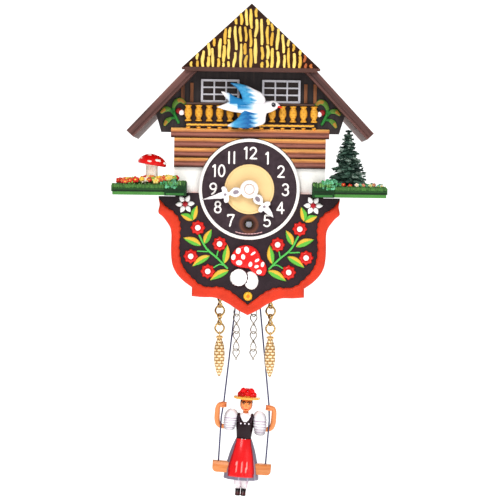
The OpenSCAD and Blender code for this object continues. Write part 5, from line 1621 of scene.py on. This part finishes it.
def stage():
    """A large pale floor, well below the clock."""
    me = bpy.data.meshes.new("floor")
    w, z = 6.0, CAD_LO[2] - FLOOR_DROP
    me.from_pydata([(-w, -w, z), (w, -w, z), (w, w, z), (-w, w, z)], [], [(0, 1, 2, 3)])
    o = bpy.data.objects.new("floor", me)
    bpy.context.scene.collection.objects.link(o)
    nt, bsdf, obj = start("pale_floor", "floor")
    soft = noise(nt, obj, 3, 2)
    coloured(nt, bsdf, ramp(nt, soft, [(0.3, (0.9, 0.9, 0.9, 1)), (0.7, (0.93, 0.93, 0.93, 1))]))
    bsdf.inputs["Roughness"].default_value = 0.9
    bsdf.inputs["Emission Color"].default_value = (1, 1, 1, 1)
    bsdf.inputs["Emission Strength"].default_value = 0.62
    me.materials.append(M["floor"])


def area(name, loc, target, size, power):
    lamp = bpy.data.lights.new(name, "AREA")
    lamp.size = size
    lamp.energy = power
    o = bpy.data.objects.new(name, lamp)
    bpy.context.scene.collection.objects.link(o)
    o.location = loc
    o.rotation_euler = (Vector(target) - Vector(loc)).to_track_quat("-Z", "Y").to_euler()


WORLD_WHITE, WORLD_DIM = 1.02, 0.55


def surroundings():
    """Plain white to the camera, softer as a light."""
    world = bpy.data.worlds.new("studio")
    bpy.context.scene.world = world
    world.use_nodes = True
    nt = world.node_tree
    seen = nt.nodes.new("ShaderNodeLightPath").outputs["Is Camera Ray"]
    dim = math_node(nt, "MULTIPLY", math_node(nt, "SUBTRACT", 1.0, seen), WORLD_DIM)
    nt.links.new(math_node(nt, "SUBTRACT", WORLD_WHITE, dim), nt.nodes["Background"].inputs["Strength"])
    nt.nodes["Background"].inputs["Color"].default_value = (1, 1, 1, 1)


stage()
surroundings()
MID_Z = (CAD_LO[2] + CAD_HI[2]) / 2
area("key", (-0.35, -1.0, 0.75), (0, 0, MID_Z), 0.4, 6.4)
area("fill", (0.9, -1.2, 0.1), (0, 0, MID_Z), 0.9, 2.7)
area("back", (0.4, 1.3, 0.6), (0, 0, MID_Z), 1.0, 9)
bpy.context.scene.view_settings.view_transform = "Standard"
bpy.context.scene.view_settings.look = "Medium High Contrast"

cam = bpy.data.cameras.new("camera")
cam.sensor_width = 36
cam.lens = 161.5
cam_o = bpy.data.objects.new("camera", cam)
bpy.context.scene.collection.objects.link(cam_o)
PICTURE_DROP, CAM_DISTANCE, CAM_X, ROLL = 0.0325, 1.2, 0.0008, 0.8
cam_o.location = (CAM_X, -0.001 * FACE - CAM_DISTANCE, DIAL_Z)
pitch = math.atan(PICTURE_DROP / CAM_DISTANCE)
direction = Vector((0, COS(-pitch), SIN(-pitch)))
cam_o.rotation_euler = direction.to_track_quat("-Z", "Y").to_euler()
cam_o.rotation_euler.rotate_axis("Z", RAD(ROLL))
bpy.context.scene.camera = cam_o
